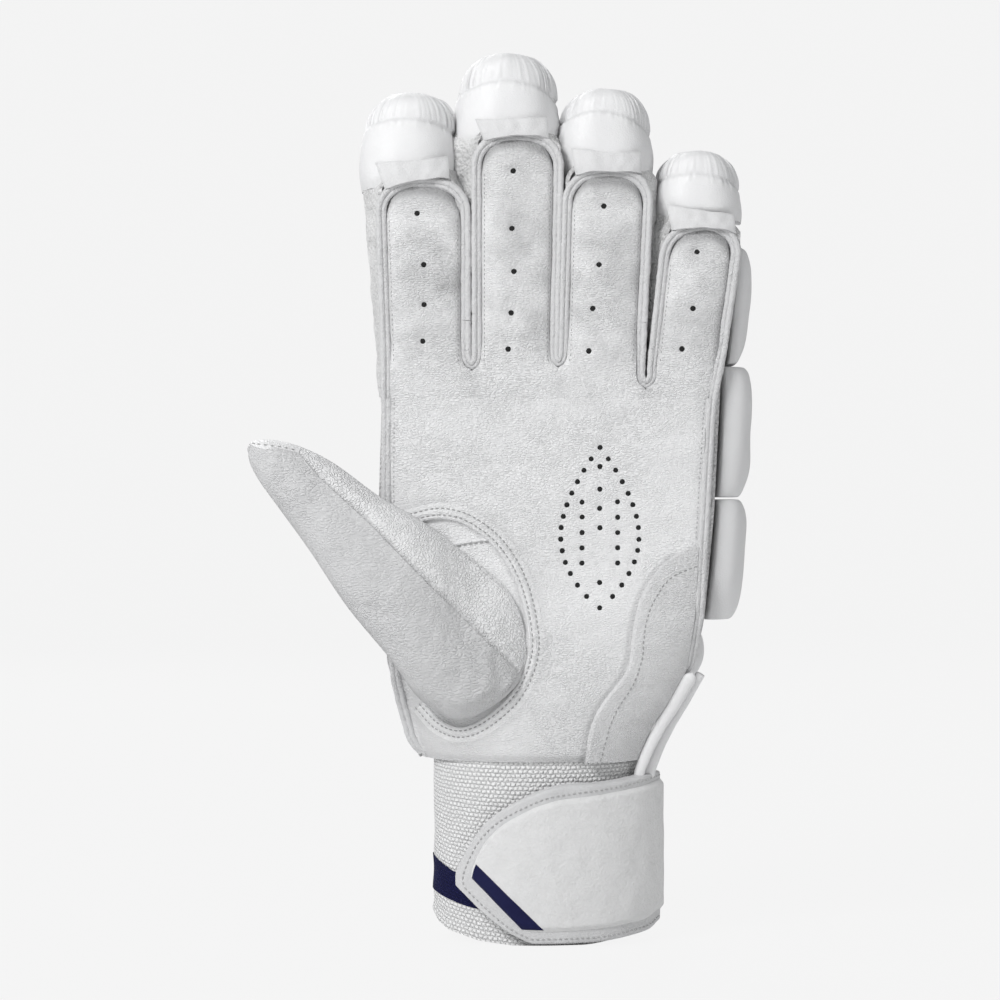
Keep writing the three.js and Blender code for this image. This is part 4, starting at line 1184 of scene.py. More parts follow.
def sleeve_rows(name, low, high):
    finger = FINGERS[name]
    sleeve_top = knuckle_z + finger["long"] + 2

    def point(z, turn):
        left, right = read_at(finger["left"], z), read_at(finger["right"], z)
        middle, half = back_width(name, z)
        across, out = rounded(math.pi * (1 + math.cos(math.pi * turn)) / 2, 3.6)
        centre = mix((left + right) / 2, middle, ease(out, 0.0, 0.8))
        wide = mix((right - left) / 2 + 1.3, half + 0.25, ease(out, 0.0, 0.55))
        amount, start, end = SLEEVE_FLARES.get((name, across > 0), (0.0, 0, 1))
        wide += 0.6 + amount * ease(z, start, end) * ease(out, 0.0, 0.45)
        wide -= 2.6 * ease(z, sleeve_top - 4.5, sleeve_top)
        trim = SLEEVE_TRIMS.get((name, across > 0), 0)
        if trim:
            wide -= 3.0 * ease(z, sleeve_top - trim, sleeve_top - trim / 3) * (1 - ease(out, 0.0, 0.4))
        uneven = rough(Vector((z * 0.7, across * 4, 5.0)), 6.0, 0.5)
        uneven += rough(Vector((z, across * 9, 2.0)), 1.3, 0.25)
        wide += uneven
        return centre + across * wide, lining_front + out * (finger_back - lining_front), z

    return grid(spaced(low, high, int((high - low) / 1.3)), spaced(0.0, 1.0, 50), point)


for name in FINGERS:
    finger = FINGERS[name]
    for part, low, high, bend, base in (
            ("lower", join_z + 1, finger["cut"], knuckle_bend(name), "base"),
            ("upper", finger["cut"], knuckle_z + finger["long"] + 3.5, middle_bend(name), "tip")):
        inside_z = 190 if part == "lower" else 210
        made = from_rows(f"{name}_sleeve_{part}", sleeve_rows(name, low, high), towel_white,
                         outward=(back_width(name, inside_z)[0], 8, inside_z))
        face_away(made, (back_width(name, 200)[0], 12, 200))
        keep(finish_piece(made, "towelling"), bend, "towelling", f"{name}_{base}_sleeve")

# %% The hand's sleeve, from the knuckles to the cuff
sleeve_right = [(57, 47.3), (67, 48.2), (76.1, 54.3), (88.9, 61.4), (101.8, 63.6), (134.9, 66.6),
                (175, 68.6)]
sleeve_left = [(57, -25.6), (62, -28.0), (67.6, -30.4), (75.9, -33.0), (87.7, -35.6), (112.2, -36.4),
               (138.4, -37.7), (175, -36.6)]


def sleeve_path(z, count=64):
    """The sleeve's outline at a height, from the palm's left edge round the back to its right edge."""
    share = wrist_share(z)
    left = min(read_at(sleeve_left, z), cuff_x - hem_half_wide - 0.3)
    right = max(read_at(sleeve_right, z), cuff_x + hem_half_wide + 0.3)
    middle, half = (left + right) / 2, (right - left) / 2
    front_left = max(plain_depth(read_at(palm_left, z), z) + 2.2, lining_front)
    front_right = max(plain_depth(read_at(palm_right, z), z) + 2.2, lining_front)
    centre = mix(max(front_left, front_right), cuff_y, share)
    deep = mix(hand_back, cuff_y + hem_half_deep + 0.6, share) - centre
    corner = mix(4.2, 2, share)
    begin = [math.asin(min(max((centre - front) / deep, 0.0), 1.0) ** (corner / 2))
             for front in (front_left, front_right)]
    path = []
    for angle in spaced(math.pi + begin[0], -begin[1], count):
        across, out = rounded(angle, corner)
        path.append((middle + across * half, centre + out * deep))
    return path


def sleeve_back(z):
    return max(point[1] for point in sleeve_path(z))


rows = [[(x, y, z) for x, y in sleeve_path(z)] for z in spaced(hem_z, 174.4, 78)]
sleeve = from_rows("hand_sleeve_sides", rows, towel_white, outward=inside_hand)
face_away(sleeve, inside_hand)
keep(finish_piece(sleeve, "towelling"), hand, "towelling", "hand_sleeve")
print("sleeves made, back of the hand at", round(sleeve_back(150), 1))

# %% [markdown]
# ## Stuffed rolls
# The back of the glove is a set of foam sausages in soft coated skin, each sewn down along its edges. A
# roll is flat underneath, crowned outside, drawn in where it is sewn and puckered beside the seams.


# %% One stuffed roll
def roll(name, low, high, middle, half_wide, deep, place, body, nodes=(), corner=2.6,
         end_share=0.3):
    """place(across, out, along) puts a point of the roll's own frame on the glove."""
    seed = sum(ord(letter) for letter in name) * 1.37
    rows, seams = [], []
    for turn in spaced(0.04, math.pi - 0.04, 30):
        end = abs(math.cos(turn))
        swell = (1 - end ** corner) ** (1 / corner)
        along = mix(low, high, (1 - math.cos(turn)) / 2)
        row = []
        for angle in spaced(0.0, 2 * math.pi, 34)[:-1]:
            across, out = rounded(angle, 2.5)
            under = out < 0
            wide = half_wide(along) * mix(0.86, 1.0, swell)
            high_here = deep * mix(end_share, 1.0, swell)
            sewn = max(end ** 6, abs(across) ** 8 * (1 - max(out, 0)))
            pucker = rough(Vector((across * 11 + seed, along / 4.0, out * 7)), 1.0, 0.55) * sewn
            dent = rough(Vector((across * wide + seed, along, out * deep)), 11.0, 0.7)
            lift = high_here * (0.2 + 0.8 * out) if not under else high_here * 0.2 * (1 + out)
            lift = max(lift + (pucker + dent * out if not under else 0.0), 0.0)
            seams.append(1 - ease(lift / deep, 0.1, 0.65))
            row.append(place(middle(along) + across * (wide + pucker * 0.5), lift, along))
        rows.append(row)
    made = from_rows(name, rows, roll_white, ring=True, closed=True)
    # Painted shade: the roll is darker low down where it is sewn, and at the middle of each end
    mark_open(made.data, [1 - 0.5 * share for share in seams] + [0.5, 0.5])
    finish_piece(made, smooth=1)
    keep(made, body, "padded_skin", *nodes)
    return made


# %% Rolls behind the fingers
roll_gap = 0.3
finger_roll_deep, hand_roll_deep = 21, 17
for name in FINGERS:
    joint = knuckle_z + FINGERS[name]["joint"]
    top = knuckle_z + FINGERS[name]["long"]
    for part, base, low, high in (("lower", "base", knuckle_z + roll_gap, joint - roll_gap),
                                  ("upper", "tip", joint + roll_gap, top)):
        roll(f"{name}_roll_{part}", low, high,
             lambda z: back_width(name, z)[0],
             lambda z: back_width(name, z)[1] - 0.9, finger_roll_deep,
             lambda across, out, along: (across, finger_back + roll_gap + out, along), f"{name}_{base}",
             [f"{name}_{base}_roll"])

# %% Rolls over the back of the hand
for name in FINGERS:
    finger = FINGERS[name]
    for part, low, high in (("knuckle", 146.3, 174.7), ("back", 108.0, 145.7)):
        narrow = lambda z: 0.22 * (knuckle_z - z) / 118
        roll(f"{name}_{part}_sausage", low, high,
             lambda z: mix(finger["back_x"][0], cuff_x, narrow(z)),
             lambda z: finger["back_wide"][0] / 2 * (1 - narrow(z)) - 0.2, hand_roll_deep,
             lambda across, out, along: (across, sleeve_back(along) + roll_gap + out, along), hand,
             [f"{name}_{part}_roll"])

# %% Rolls down the little-finger side
def side_place(across, out, along):
    return read_at(sleeve_right, along) + roll_gap + out, across, along


side_middle_y, side_half_wide, side_end_share = 19, 14.5, 0.66
roll("side_sausage_upper", 139.4, 180.3, lambda z: side_middle_y, lambda z: side_half_wide, 11.3, side_place,
     hand, ["upper_side_roll"], end_share=side_end_share)
roll("side_sausage_lower", 101.0, 138.8, lambda z: side_middle_y,
     lambda z: side_half_wide * mix(0.75, 1, ease(z, 100, 116)), 11.6, side_place, hand, ["lower_side_roll"],
     end_share=side_end_share)


def little_edge(z):
    middle, half = back_width("little", z)
    return middle + half


roll("little_side_sausage", 181.0, 217.6, lambda z: side_middle_y, lambda z: 13.5, 6.9,
     lambda across, out, along: (little_edge(along) - roll_gap + out, across, along), middle_bend("little"))
print("rolls:", len([piece for piece in PIECES if "roll" in piece or "sausage" in piece]))


# %% The wrist roll follows the sleeve round the back
def wrist_roll():
    low, high = 77.0, 100.8
    count = len(sleeve_path(low))
    first, last = int(count * 0.2), int(count * 0.86)
    rows = []
    for step in spaced(first, last, 80):
        turn = math.pi * (step - first) / (last - first)
        swell = math.sin(turn) ** 0.45 if 0 < turn < math.pi else 0.0
        row = []
        for angle in spaced(0.0, 2 * math.pi, 30)[:-1]:
            across, out = rounded(angle, 2.5)
            drawn = mix(0.55, 1.0, swell)
            z = mix(low, high, 0.5 + across * 0.5 * drawn)
            path = sleeve_path_at(z)
            crown = 12.3 * mix(0.3, 1.0, swell)
            lift = crown * (0.2 + 0.8 * out) if out > 0 else crown * 0.2 * (1 + out)
            sewn = abs(across) ** 8 * (1 - max(out, 0))
            uneven = rough(Vector((step * 1.1, z / 3, 4)), 1.0, 0.5) * sewn
            uneven += rough(Vector((step, z, 0)), 7.0, 0.5) * max(out, 0)
            lift += uneven
            x, y = point_off(path, step, 0.7 + max(lift, 0))
            row.append((x, y, z))
        rows.append(row)
    return rows


path_store = {}


def sleeve_path_at(z):
    key = round(z, 1)
    if key not in path_store:
        path_store[key] = sleeve_path(key)
    return path_store[key]


def point_off(path, step, distance):
    i = min(int(step), len(path) - 2)
    share = step - i
    before, after = path[max(i - 1, 0)], path[min(i + 2, len(path) - 1)]
    x, y = mix(path[i][0], path[i + 1][0], share), mix(path[i][1], path[i + 1][1], share)
    du, dv = after[0] - before[0], after[1] - before[1]
    long = math.hypot(du, dv)
    return x - dv / long * distance, y + du / long * distance


made = from_rows("wrist_sausage", wrist_roll(), roll_white, ring=True, closed=True)
finish_piece(made, smooth=1)
keep(made, hand, "padded_skin", "wrist_roll")
print("wrist roll:", len(made.data.polygons), "faces")

# %% [markdown]
# ## Fingertip caps and their tabs
# Each fingertip is guarded by a hollow padded dome. Its lower part bulges over the finger's end. A strip
# gathered with small pleats crosses its top from front to back, and a folded tab closes its mouth over the
# leather.

# %% Cap shapes
CAPS = {
    "index": {"middle": -28.6, "half": 14.9, "strip": 14.3, "shift": 0.9, "mouth": 236.0, "line": 257.1,
              "sag": 3.4, "lean": 0.6, "top": 266.8, "round": 11.8},
    "middle": {"middle": 2.1, "half": 15.9, "strip": 15.1, "shift": 0.3, "mouth": 249.0, "line": 268.9,
               "sag": 4.6, "lean": 0.4, "top": 279.4, "round": 12.6},
    "ring": {"middle": 32.7, "half": 14.8, "strip": 14.1, "shift": 0.5, "mouth": 238.5, "line": 259.3,
             "sag": 4.6, "lean": 1.4, "top": 268.2, "round": 12.0},
    "little": {"middle": 62.3, "half": 13.3, "strip": 12.6, "shift": -0.1, "mouth": 226.0, "line": 240.0,
               "sag": 3.2, "lean": 1.3, "top": 248.7, "round": 10.5},
}
cap_front, cap_back = 1.5, 46.8


def cap_rows(name):
    """Rings from the mouth to the top. Above the line, the gathered strip is narrower and pleated."""
    cap = CAPS[name]
    seed = len(name) * 5.3
    deep = (cap_back - cap_front) / 2
    rows, open_values = [], []
    for turn in spaced(0.0, 1.0, 72):
        row = []
        for angle in spaced(0.0, 2 * math.pi, 230)[:-1]:
            across, out = rounded(angle, 2.6)
            front = max(-out, 0.0)
            mouth = cap["mouth"] - 8.5 * ease(front, 0.86, 0.995) + 2.5 * max(out, 0)
            z = mix(mouth, cap["top"], 1 - (1 - turn) ** 1.8)
            high = min(max((z - cap["top"] + cap["round"]) / cap["round"], 0.0), 1.0)
            narrow = (1 - high ** 2.25) ** (1 / 2.25)
            flat = (1 - high ** 4.5) ** (1 / 3.2)
            line = cap["line"] - cap["sag"] * across * across - cap["lean"] * across
            above = ease(z, line - 0.3, line + 0.9)
            half = mix(cap["half"], cap["strip"], above)
            below_line = min(max((z - cap["mouth"] + 3) / (line - cap["mouth"] + 3), 0), 1)
            belly = 1.1 * math.sin(math.pi * below_line)
            crease = 0.4 * math.exp(-((z - line) / 0.5) ** 2)
            pleat = rough(Vector((angle * 24 + seed, 0.3 * high, 1)), 1.0, 1.4)
            pleat += rough(Vector((angle * 9 + seed, 0.6 * high, 3)), 1.0, 1.0)
            pleat *= ease(z, line, line + 1.5) * (0.2 + 0.8 * ease(abs(across), 0.5, 0.9)) * (1 - 0.5 * high)
            sewn = rough(Vector((angle * 16, z / 6, seed)), 1.0, 0.35)
            sewn *= ease(z, line - 3.5, line - 0.5)
            sewn *= 1 - above
            dent = rough(Vector((across * 14 + seed, z, out * 20)), 9.0, 0.55)
            swell = belly * (1 - above) - crease * 0.8 + pleat + sewn + dent
            x = cap["middle"] + cap["shift"] * above + across * (half * narrow + swell * min(2 * narrow, 1))
            y = (cap_back + cap_front) / 2 + out * (deep * flat + (swell - 0.6 * above) * min(2 * flat, 1))
            y += 2.4 * (1 - ease(z, cap["mouth"] - 1.5, cap["mouth"] + 4)) * front
            crown = rough(Vector((x, y, seed)), 6.0, 0.5) * ease(high, 0.5, 1.0)
            row.append((x, y, z + crown))
            # Painted shade: darker in the pleats' valleys, along the seam line, towards the mouth and in the
            # sewn puckers
            valley = ease(-pleat, 0.0, 0.5) * 0.55 + 0.3 * math.exp(-((z - line) / 0.7) ** 2)
            valley += 0.3 * (1 - ease(z, cap["mouth"] - 6, cap["mouth"] + 5)) + ease(-sewn, 0.05, 0.3) * 0.2
            open_values.append(1 - min(valley, 0.8))
        rows.append(row)
    return rows, open_values


for name in CAPS:
    rows, open_values = cap_rows(name)
    made = from_rows(f"{name}_cap_skin", rows, skin_white, ring=True, outward=(CAPS[name]["middle"], 24, 240))
    mark_open(made.data, open_values)
    work = bmesh.new()
    work.from_mesh(made.data)
    bmesh.ops.remove_doubles(work, verts=work.verts, dist=0.00002)
    work.to_mesh(made.data)
    work.free()
    keep(finish_piece(made, "cap"), f"{name}_tip", "padded_skin", f"{name}_tip_cap")
print("caps made")

# %% Tabs folded over the mouths
TABS = {
    "index": [(-38.9, 243.6), (-16.1, 245.3), (-15.7, 238.4), (-35.8, 235.0)],
    "middle": [(-7.8, 256.9), (14.5, 257.8), (15.2, 251.0), (-5.0, 250.0)],
    "ring": [(22.0, 248.0), (43.6, 246.6), (43.9, 239.8), (23.4, 239.4)],
    "little": [(51.8, 230.5), (72.8, 227.4), (73.2, 221.6), (53.2, 222.2)],
}


def tab_rows(name):
    top_left, top_right, low_right, low_left = [Vector((x, 0, z)) for x, z in TABS[name]]

    def place(v, u):
        point = low_left.lerp(low_right, u).lerp(top_left.lerp(top_right, u), v)
        bow = 4 * u * (1 - u)
        point.z += 1.0 * bow * (1 - v) - 0.7 * bow * v + rough(Vector((u * 20, v, len(name) * 2)), 5.0, 0.5)
        point.y = -0.6 - 0.4 * bow + 0.9 * v + rough(Vector((u * 24, v * 6, len(name))), 3.2, 0.35)
        point.y += 1.5 * (2 * u - 1) ** 4
        return point

    return grid(spaced(0.0, 1.0, 14), spaced(0.0, 1.0, 48), place)


def tab_open(name):
    """Painted shade on a tab: darker along its edges, and more towards its lower edge."""
    (x0, z0), (x1, z1), (x2, z2), (x3, z3) = TABS[name]

    def tone(point):
        low = mix(z3, z2, (point.x - x3) / (x2 - x3))
        high = mix(z0, z1, (point.x - x0) / (x1 - x0))
        up = (point.z - low) / (high - low)
        inside = min(point.x - mix(x3, x0, up), mix(x2, x1, up) - point.x, high - point.z)
        return 1 - 0.35 * (1 - ease(up, 0.0, 0.5)) - 0.4 * (1 - ease(inside, 0.2, 1.0))

    return tone


for name in TABS:
    made = from_rows(f"{name}_tab_fold", tab_rows(name), tab_shaded_white, outward=(TABS[name][0][0] + 10, 100, 240))
    shade_by(made, tab_open(name))
    keep(finish_piece(made, "tab"), f"{name}_tip", "padded_skin", f"{name}_tip_tab")
print("tabs made")

# %% [markdown]
# ## The thumb
# The thumb is a cone of smooth leather with a coarser grained gusset let in along its upper side. It leaves
# the palm through a round opening. The same stations shape it from its tip to the mound on the palm: each
# is a pair of points, on its lower and its upper edge, and the skin runs round from one to the other.

# %% Stations of the thumb
#            lower x, z        upper x, z        front    middle  back
thumb_table = [
    ((-77.6, 153.2), (-76.8, 155.6), 2.5, -5.0, 2.5),
    ((-76.8, 149.4), (-75.8, 156.8), 5.2, -5.0, 4.5),
    ((-73.6, 143.6), (-69.6, 157.0), 7.6, -5.0, 7.2),
    ((-66.6, 134.0), (-61.2, 154.9), 9.0, -5.0, 8.8),
    ((-58.4, 122.6), (-51.0, 149.8), 9.4, -5.0, 9.3),
    ((-47.2, 105.8), (-37.6, 140.0), 9.5, -5.0, 9.4),
    ((-34.2, 89.8), (-27.0, 133.8), 11.2, -3.0, 5.8),
    ((-27.4, 79.8), (-18.6, 128.4), 12.6, -0.6, 2.4),
    ((-23.0, 75.2), (-11.8, 122.8), 12.6, 0.9, 1.0),
    ((-19.2, 72.6), (-4.0, 116.6), 11.6, 1.2, 1.0),
    ((-15.4, 70.8), (2.4, 110.6), 10.2, 1.2, 1.0),
    ((-10.8, 70.6), (6.4, 103.0), 8.4, 1.2, 1.0),
    ((-5.4, 72.6), (8.2, 95.0), 6.2, 1.2, 1.0),
    ((0.2, 76.2), (8.2, 88.6), 4.0, 1.2, 1.0),
    ((4.8, 80.6), (7.0, 84.0), 1.7, 1.2, 1.0),
]
seam_line = [(-76.6, 156.5), (-61.7, 153.1), (-55.2, 145.4), (-40.3, 131.8), (-20.2, 111.0), (5.3, 85.6)]


def spline(values, v):
    i = min(int(v), len(values) - 2)
    t = v - i
    a, b, c, d = values[max(i - 1, 0)], values[i], values[i + 1], values[min(i + 2, len(values) - 1)]
    return 0.5 * (2 * b + (c - a) * t + (2 * a - 5 * b + 4 * c - d) * t * t
                  + (3 * b - a - 3 * c + d) * t ** 3)


def station(v):
    low, high = (Vector((spline([row[k][0] for row in thumb_table], v), 0,
                         spline([row[k][1] for row in thumb_table], v))) for k in (0, 1))
    front, middle, back = (spline([row[k] for row in thumb_table], v) for k in (2, 3, 4))
    return low, high, front, middle, back


def seam_share(low, high):
    """How far from the lower edge to the upper the seam crosses a station."""
    best = 0.96
    for (x0, z0), (x1, z1) in zip(seam_line, seam_line[1:]):
        d = (high.x - low.x) * (z1 - z0) - (high.z - low.z) * (x1 - x0)
        if abs(d) < 1e-6:
            continue
        share = ((x0 - low.x) * (z1 - z0) - (z0 - low.z) * (x1 - x0)) / d
        along = ((x0 - low.x) * (high.z - low.z) - (z0 - low.z) * (high.x - low.x)) / d
        if -0.02 <= along <= 1.02 and 0.05 < share < 0.96:
            best = share
    return best


def thumb_point(v, share, front_side, lift):
    low, high, front, middle, back = station(v)
    on_palm_share = ease(v, 6.0, 9.0)
    peak = mix(0.5, 0.4, on_palm_share)
    power = mix(2.4, 2.0, on_palm_share) if share < peak else mix(2.3, 1.2, on_palm_share)
    off = (peak - share) / peak if share < peak else (share - peak) / (1 - peak)
    bulge = (1 - off ** power) ** (1 / power)
    point = low.lerp(high, share)
    if front_side:
        y = middle - (front + lift) * bulge
    else:
        y = middle + back * bulge
    crinkle = rough(Vector((point.x, 4 * y, point.z)), 9.0, 0.8)
    crinkle += rough(Vector((point.x, y, point.z)), 3.2, 0.25)
    return Vector((point.x, y + crinkle * (bulge if front_side else 0.3), point.z))


thumb_lean = math.radians(43.9)
thumb_axis = Vector((math.cos(thumb_lean), 0, -math.sin(thumb_lean)))
thumb_across = Vector((math.sin(thumb_lean), 0, math.cos(thumb_lean)))
thumb_tip_at = Vector((-75, -5, 154.1))
tip_dome = 0.7


def tip_cap(first_row):
    """Rows that close the skin over the thumb's tip."""
    low, high, middle = [station(0.0)[k] for k in (0, 1, 3)]
    centre = Vector(((low.x + high.x) / 2, middle, (low.z + high.z) / 2))
    closing = []
    for share in (0.04, 0.35, 0.65, 0.88):
        dome = tip_dome * (1 - share * share) ** 0.5
        closing.append([centre.lerp(point, share) - thumb_axis * dome for point in first_row])
    return closing


def thumb_rows(side, start, end):
    rows = []
    for v in spaced(start, end, int(round((end - start) / 0.05))):
        low, high = station(v)[:2]
        seam = seam_share(low, high)
        seam_turn = math.acos(1 - 2 * seam) / math.pi
        row = []
        if side == "leather":
            for share in spaced(0.5, 0.0, 10)[:-1]:
                row.append(thumb_point(v, half_turn(share), False, 0))
            for turn in spaced(0.0, seam_turn, 34):
                lip = 0.5 * math.exp(-((seam_turn - turn) / 0.035) ** 2)
                row.append(thumb_point(v, half_turn(turn), True, lip))
        else:
            for turn in spaced(seam_turn, 1.0, 22):
                dip = -0.75 * math.exp(-((turn - seam_turn) / 0.05) ** 2)
                row.append(thumb_point(v, half_turn(turn), True, dip))
            for share in spaced(1.0, 0.5, 10)[1:]:
                row.append(thumb_point(v, half_turn(share), False, 0))
        rows.append(row)
    if start == 0.0:
        rows = tip_cap(rows[0]) + rows
    return rows


def thumb_open(side, count):
    """Painted shade: the leather darker along the thumb's lower edge, the gusset darker just under the
    leather's lip and towards its upper edge, and both darker on the thumb's far side.
    """
    if side == "leather":
        row = [0.4] * 10 + [1 - 0.6 * (1 - ease(turn, 0.0, 0.22)) for turn in spaced(0.0, 1.0, 34)]
    else:
        row = [1 - 0.55 * (1 - ease(turn, 0.0, 0.09)) - 0.3 * ease(turn, 0.8, 1.0)
               for turn in spaced(0.0, 1.0, 22)]
        row += [0.5] * 10
    return row * count


tip_bend = ("thumb_base", "thumb_tip", thumb_tip_at + thumb_axis * 35, thumb_tip_at + thumb_axis * 23)
root_bend = (hand, "thumb_base", (-30.5, -5, 117), (-44.3, -5, 117))
thumb_parts = [("tip", 0.0, 4.45, tip_bend), ("root", 4.45, 7.1, root_bend), ("mound", 7.1, 13.9, hand)]
thumb_nodes = {("tip", "leather"): ["thumb_tip_leather"], ("tip", "gusset"): ["thumb_tip_gusset"],
               ("root", "leather"): ["thumb_base_leather"], ("root", "gusset"): ["thumb_base_gusset"],
               ("mound", "leather"): ["thumb_surround"], ("mound", "gusset"): []}
for part, start, end, bend in thumb_parts:
    for side, finish in (("leather", thumb_white), ("gusset", gusset_white)):
        rows = thumb_rows(side, start, end)
        made = from_rows(f"thumb_{part}_{side}_skin", rows, finish)
        mark_open(made.data, thumb_open(side, len(rows)))
        middle_row = rows[len(rows) // 2]
        inside = sum((Vector(point) for point in middle_row), Vector()) / len(middle_row)
        face_away(made, (inside.x, station((start + end) / 2)[3], inside.z), by_area=True)
        keep(finish_piece(made, "thumb"), bend, "leather", *thumb_nodes[part, side])
print("thumb pieces:", [piece for piece in PIECES if piece.startswith("thumb")])

# %% Stitches on the rim over the thumb's tip
rows, rim_row = [], []
for v in spaced(0.2, 3.0, 56):
    seam = seam_share(*station(v)[:2]) - 0.03 - 0.1 * (1 - ease(v, 1.2, 2.8))
    proud = 0.5 * ease(v, 0.2, 0.5) * ease(3.0 - v, 0.0, 0.3)
    row = [thumb_point(v, share, True, proud * ease(share, seam, seam + 0.08))
           for share in spaced(seam, 1.0, 14)]
    row += [thumb_point(v, share, False, 0.4) for share in spaced(1.0, 0.85, 4)[1:]]
    rows.append(row)
    rim_row.append(thumb_point(v, mix(seam, 1.0, 0.42), True, proud + 0.05))
made = from_rows("thumb_rim_band", rows, web_white, outward=(-60, 200, 130))
keep(finish_piece(made, "rim"), tip_bend, "leather")
rim_made = run_tree("thumb_rim_stitches", stitch_tree, [rim_row[4:-4]], shaded_seam_thread,
                    {"Step": 2.0 * mm, "Length": 1.1 * mm, "Thread": 0.26 * mm})
keep(rim_made, tip_bend, "leather")

# %% Pads on the thumb's far side
def thumb_width(along):
    """The lower and upper reach of the thumb across its axis, at a distance from its tip."""
    reaches = [(0.7, -3.6, 5.0), (4, -5.3, 7.4), (10.5, -6.6, 10.5), (18.5, -8.4, 12.8), (34, -11.2, 15.5),
               (53.5, -15.5, 17.6), (70, -18, 19)]
    return read_at(reaches, along), read_at(reaches, along, 2)


def pad_place(across, out, along):
    point = thumb_tip_at + thumb_axis * along + thumb_across * across
    return point.x, 4.2 + out, point.z


def pad_reach(along):
    low, high = thumb_width(along)
    return low, min(high, (37.0 - along * thumb_axis.x) / thumb_across.x)


for part, low, high in (("tip", 3.0, 29.2), ("base", 29.8, 60.0)):
    roll(f"thumb_{part}_sausage", low, high,
         lambda along: sum(pad_reach(along)) / 2,
         lambda along: max((pad_reach(along)[1] - pad_reach(along)[0]) / 2 * 0.92, 1.0), 7.8,
         pad_place, f"thumb_{part}", [f"thumb_{part}_pad"])
print("thumb pads made")

# %% [markdown]
# ## The folded edge round the thumb
# Where the thumb comes through, the palm's leather is folded back and sewn down with two rows. The fold is
# a narrow strip laid along the opening: it curls under at its inner edge, dips at each row of stitches and
# fades into the palm.

# %% Folded edge and the web's seam
def beside(path, i, distance):
    before, after = path[max(i - 1, 0)], path[min(i + 1, len(path) - 1)]
    along = (after - before).normalized()
    return Vector((path[i].x - along.z * distance, 0, path[i].z + along.x * distance))


fold_profile = [(-0.7, -0.9), (-0.55, -0.1), (-0.3, 0.5), (0.0, 0.85), (0.35, 0.95), (0.7, 0.7),
                (0.95, 0.62), (1.2, 0.72), (1.6, 0.9), (2.1, 0.85), (2.5, 0.6), (2.8, 0.32), (3.1, 0.3),
                (3.5, 0.28), (4.2, 0.12), (5.0, 0.0)]


def beside_arc(i, distance, lift):
    spot = beside(thumb_arc, i, distance)
    return lifted(spot.x, spot.z, lift)


rows = grid(range(len(thumb_arc)), fold_profile, lambda i, pair: beside_arc(i, pair[0], pair[1] * 0.9))
made = from_rows("thumb_opening_fold", rows, palm_white, outward=behind_thumb)
keep(finish_piece(made, "fold", smooth=1), hand, "leather")


def lay_stitches(name, path, body, finish, step=1.7, length=1.15, thread=0.22, slot="leather"):
    made = run_tree(name, stitch_tree, [path], finish,
                    {"Step": step * mm, "Length": length * mm, "Thread": thread * mm})
    return keep(made, body, slot)


def on_palm(points, lift):
    return [lifted(point.x, point.z, lift) for point in points]


for row_name, distance, first, lift in (("inner", 0.95, 4, 0.62), ("outer", 2.95, 2, 0.34)):
    row = [beside_arc(i, distance, lift) for i in range(first, len(thumb_arc))]
    lay_stitches(f"thumb_opening_stitches_{row_name}", row, hand, shaded_seam_thread)
rows = grid(range(3, 78), spaced(0.0, 1.0, 24),
            lambda i, share: beside_arc(i, -0.4 - 13.0 * share * ease(i, -6, 26), 0.15))
made = from_rows("thumb_web_leather", rows, web_white, outward=behind_thumb)
# Painted shade on the web: darker just inside the fold's edge
shade_by(made, lambda point: 1 - 0.5 * (1 - ease(-arc_distance(point.x, point.z), 0.4, 2.2)))
keep(finish_piece(made, "web"), hand, "leather")
web_seam = flat_path([(-17.5, 123.6), (-12, 125.2), (-7, 126.0), (-2.4, 126.6)], 0.8)
lay_pipe("web_seam_ridge", [on_palm(web_seam, 0.15)], web_white, 0.5, hand)
below_seam = [point + Vector((0, 0, -0.8)) for point in web_seam]
lay_stitches("web_seam_stitches", on_palm(below_seam, 0.3), hand, shaded_seam_thread)
print("opening fold:", len(made.data.polygons), "faces")

# %% [markdown]
# ## Heel patch and wrist welt
# The heel of the hand gets a second layer of leather, sewn on with a curved edge. Beside the hem, the
# leather is rolled over into a flat welt that takes the cuff's pull.

# %% Heel patch
def heel_point(edge, share):
    x = mix(edge.x, read_at(palm_right, edge.z) - 0.2, share ** 1.25)
    rise = ease(x - edge.x, -0.4, 1.1) * ease(124.8 - edge.z, -0.3, 1.0)
    return lifted(x, edge.z, 0.15 + 0.9 * rise)


rows = grid(flat_path([(x, z) for z, x in HEEL_EDGE], 0.9), spaced(0.0, 1.0, 36), heel_point)
made = from_rows("heel_patch_leather", rows, palm_white, outward=(40, 200, 90))
# Painted shade on the heel patch: darker towards its right side and towards the wrist
shade_by(made, lambda point: 0.72 - 0.12 * ease(point.x, 45, 60) - 0.15 * ease(80 - point.z, 0, 25))
keep(finish_piece(made, "heel"), hand, "leather", "heel_patch")

heel_row = flat_path([
    (60.5, 117.9), (53, 114.4), (48.7, 109), (45.9, 102.9), (44.4, 95), (44, 89.6), (41.2, 81.5), (35, 71.3),
    (31, 58)], 1.0)
lay_stitches("heel_stitches", on_palm(heel_row, 1.1), hand, shaded_seam_thread)

# %% Wrist welt: a flattened roll with a second fold behind it
welt_edge = [(50, 43.2), (54, 44.0), (58, 45.6), (62, 47.4), (68, 50.6), (75, 55.0), (84.3, 60.2)]


def welt_path(shift, low, high):
    points = []
    for z in spaced(high, low, 30):
        x = read_at(welt_edge, z) + shift
        points.append(Vector((x, plain_depth(min(x, read_at(palm_right, z)), z) - 0.6 + abs(shift) * 1.2, z)))
    return smooth_path(points, 0.8)


def welt_size(share):
    return 2.3 * (min(share / 0.05, 1) ** 0.5) * mix(0.95, 0.7, share)


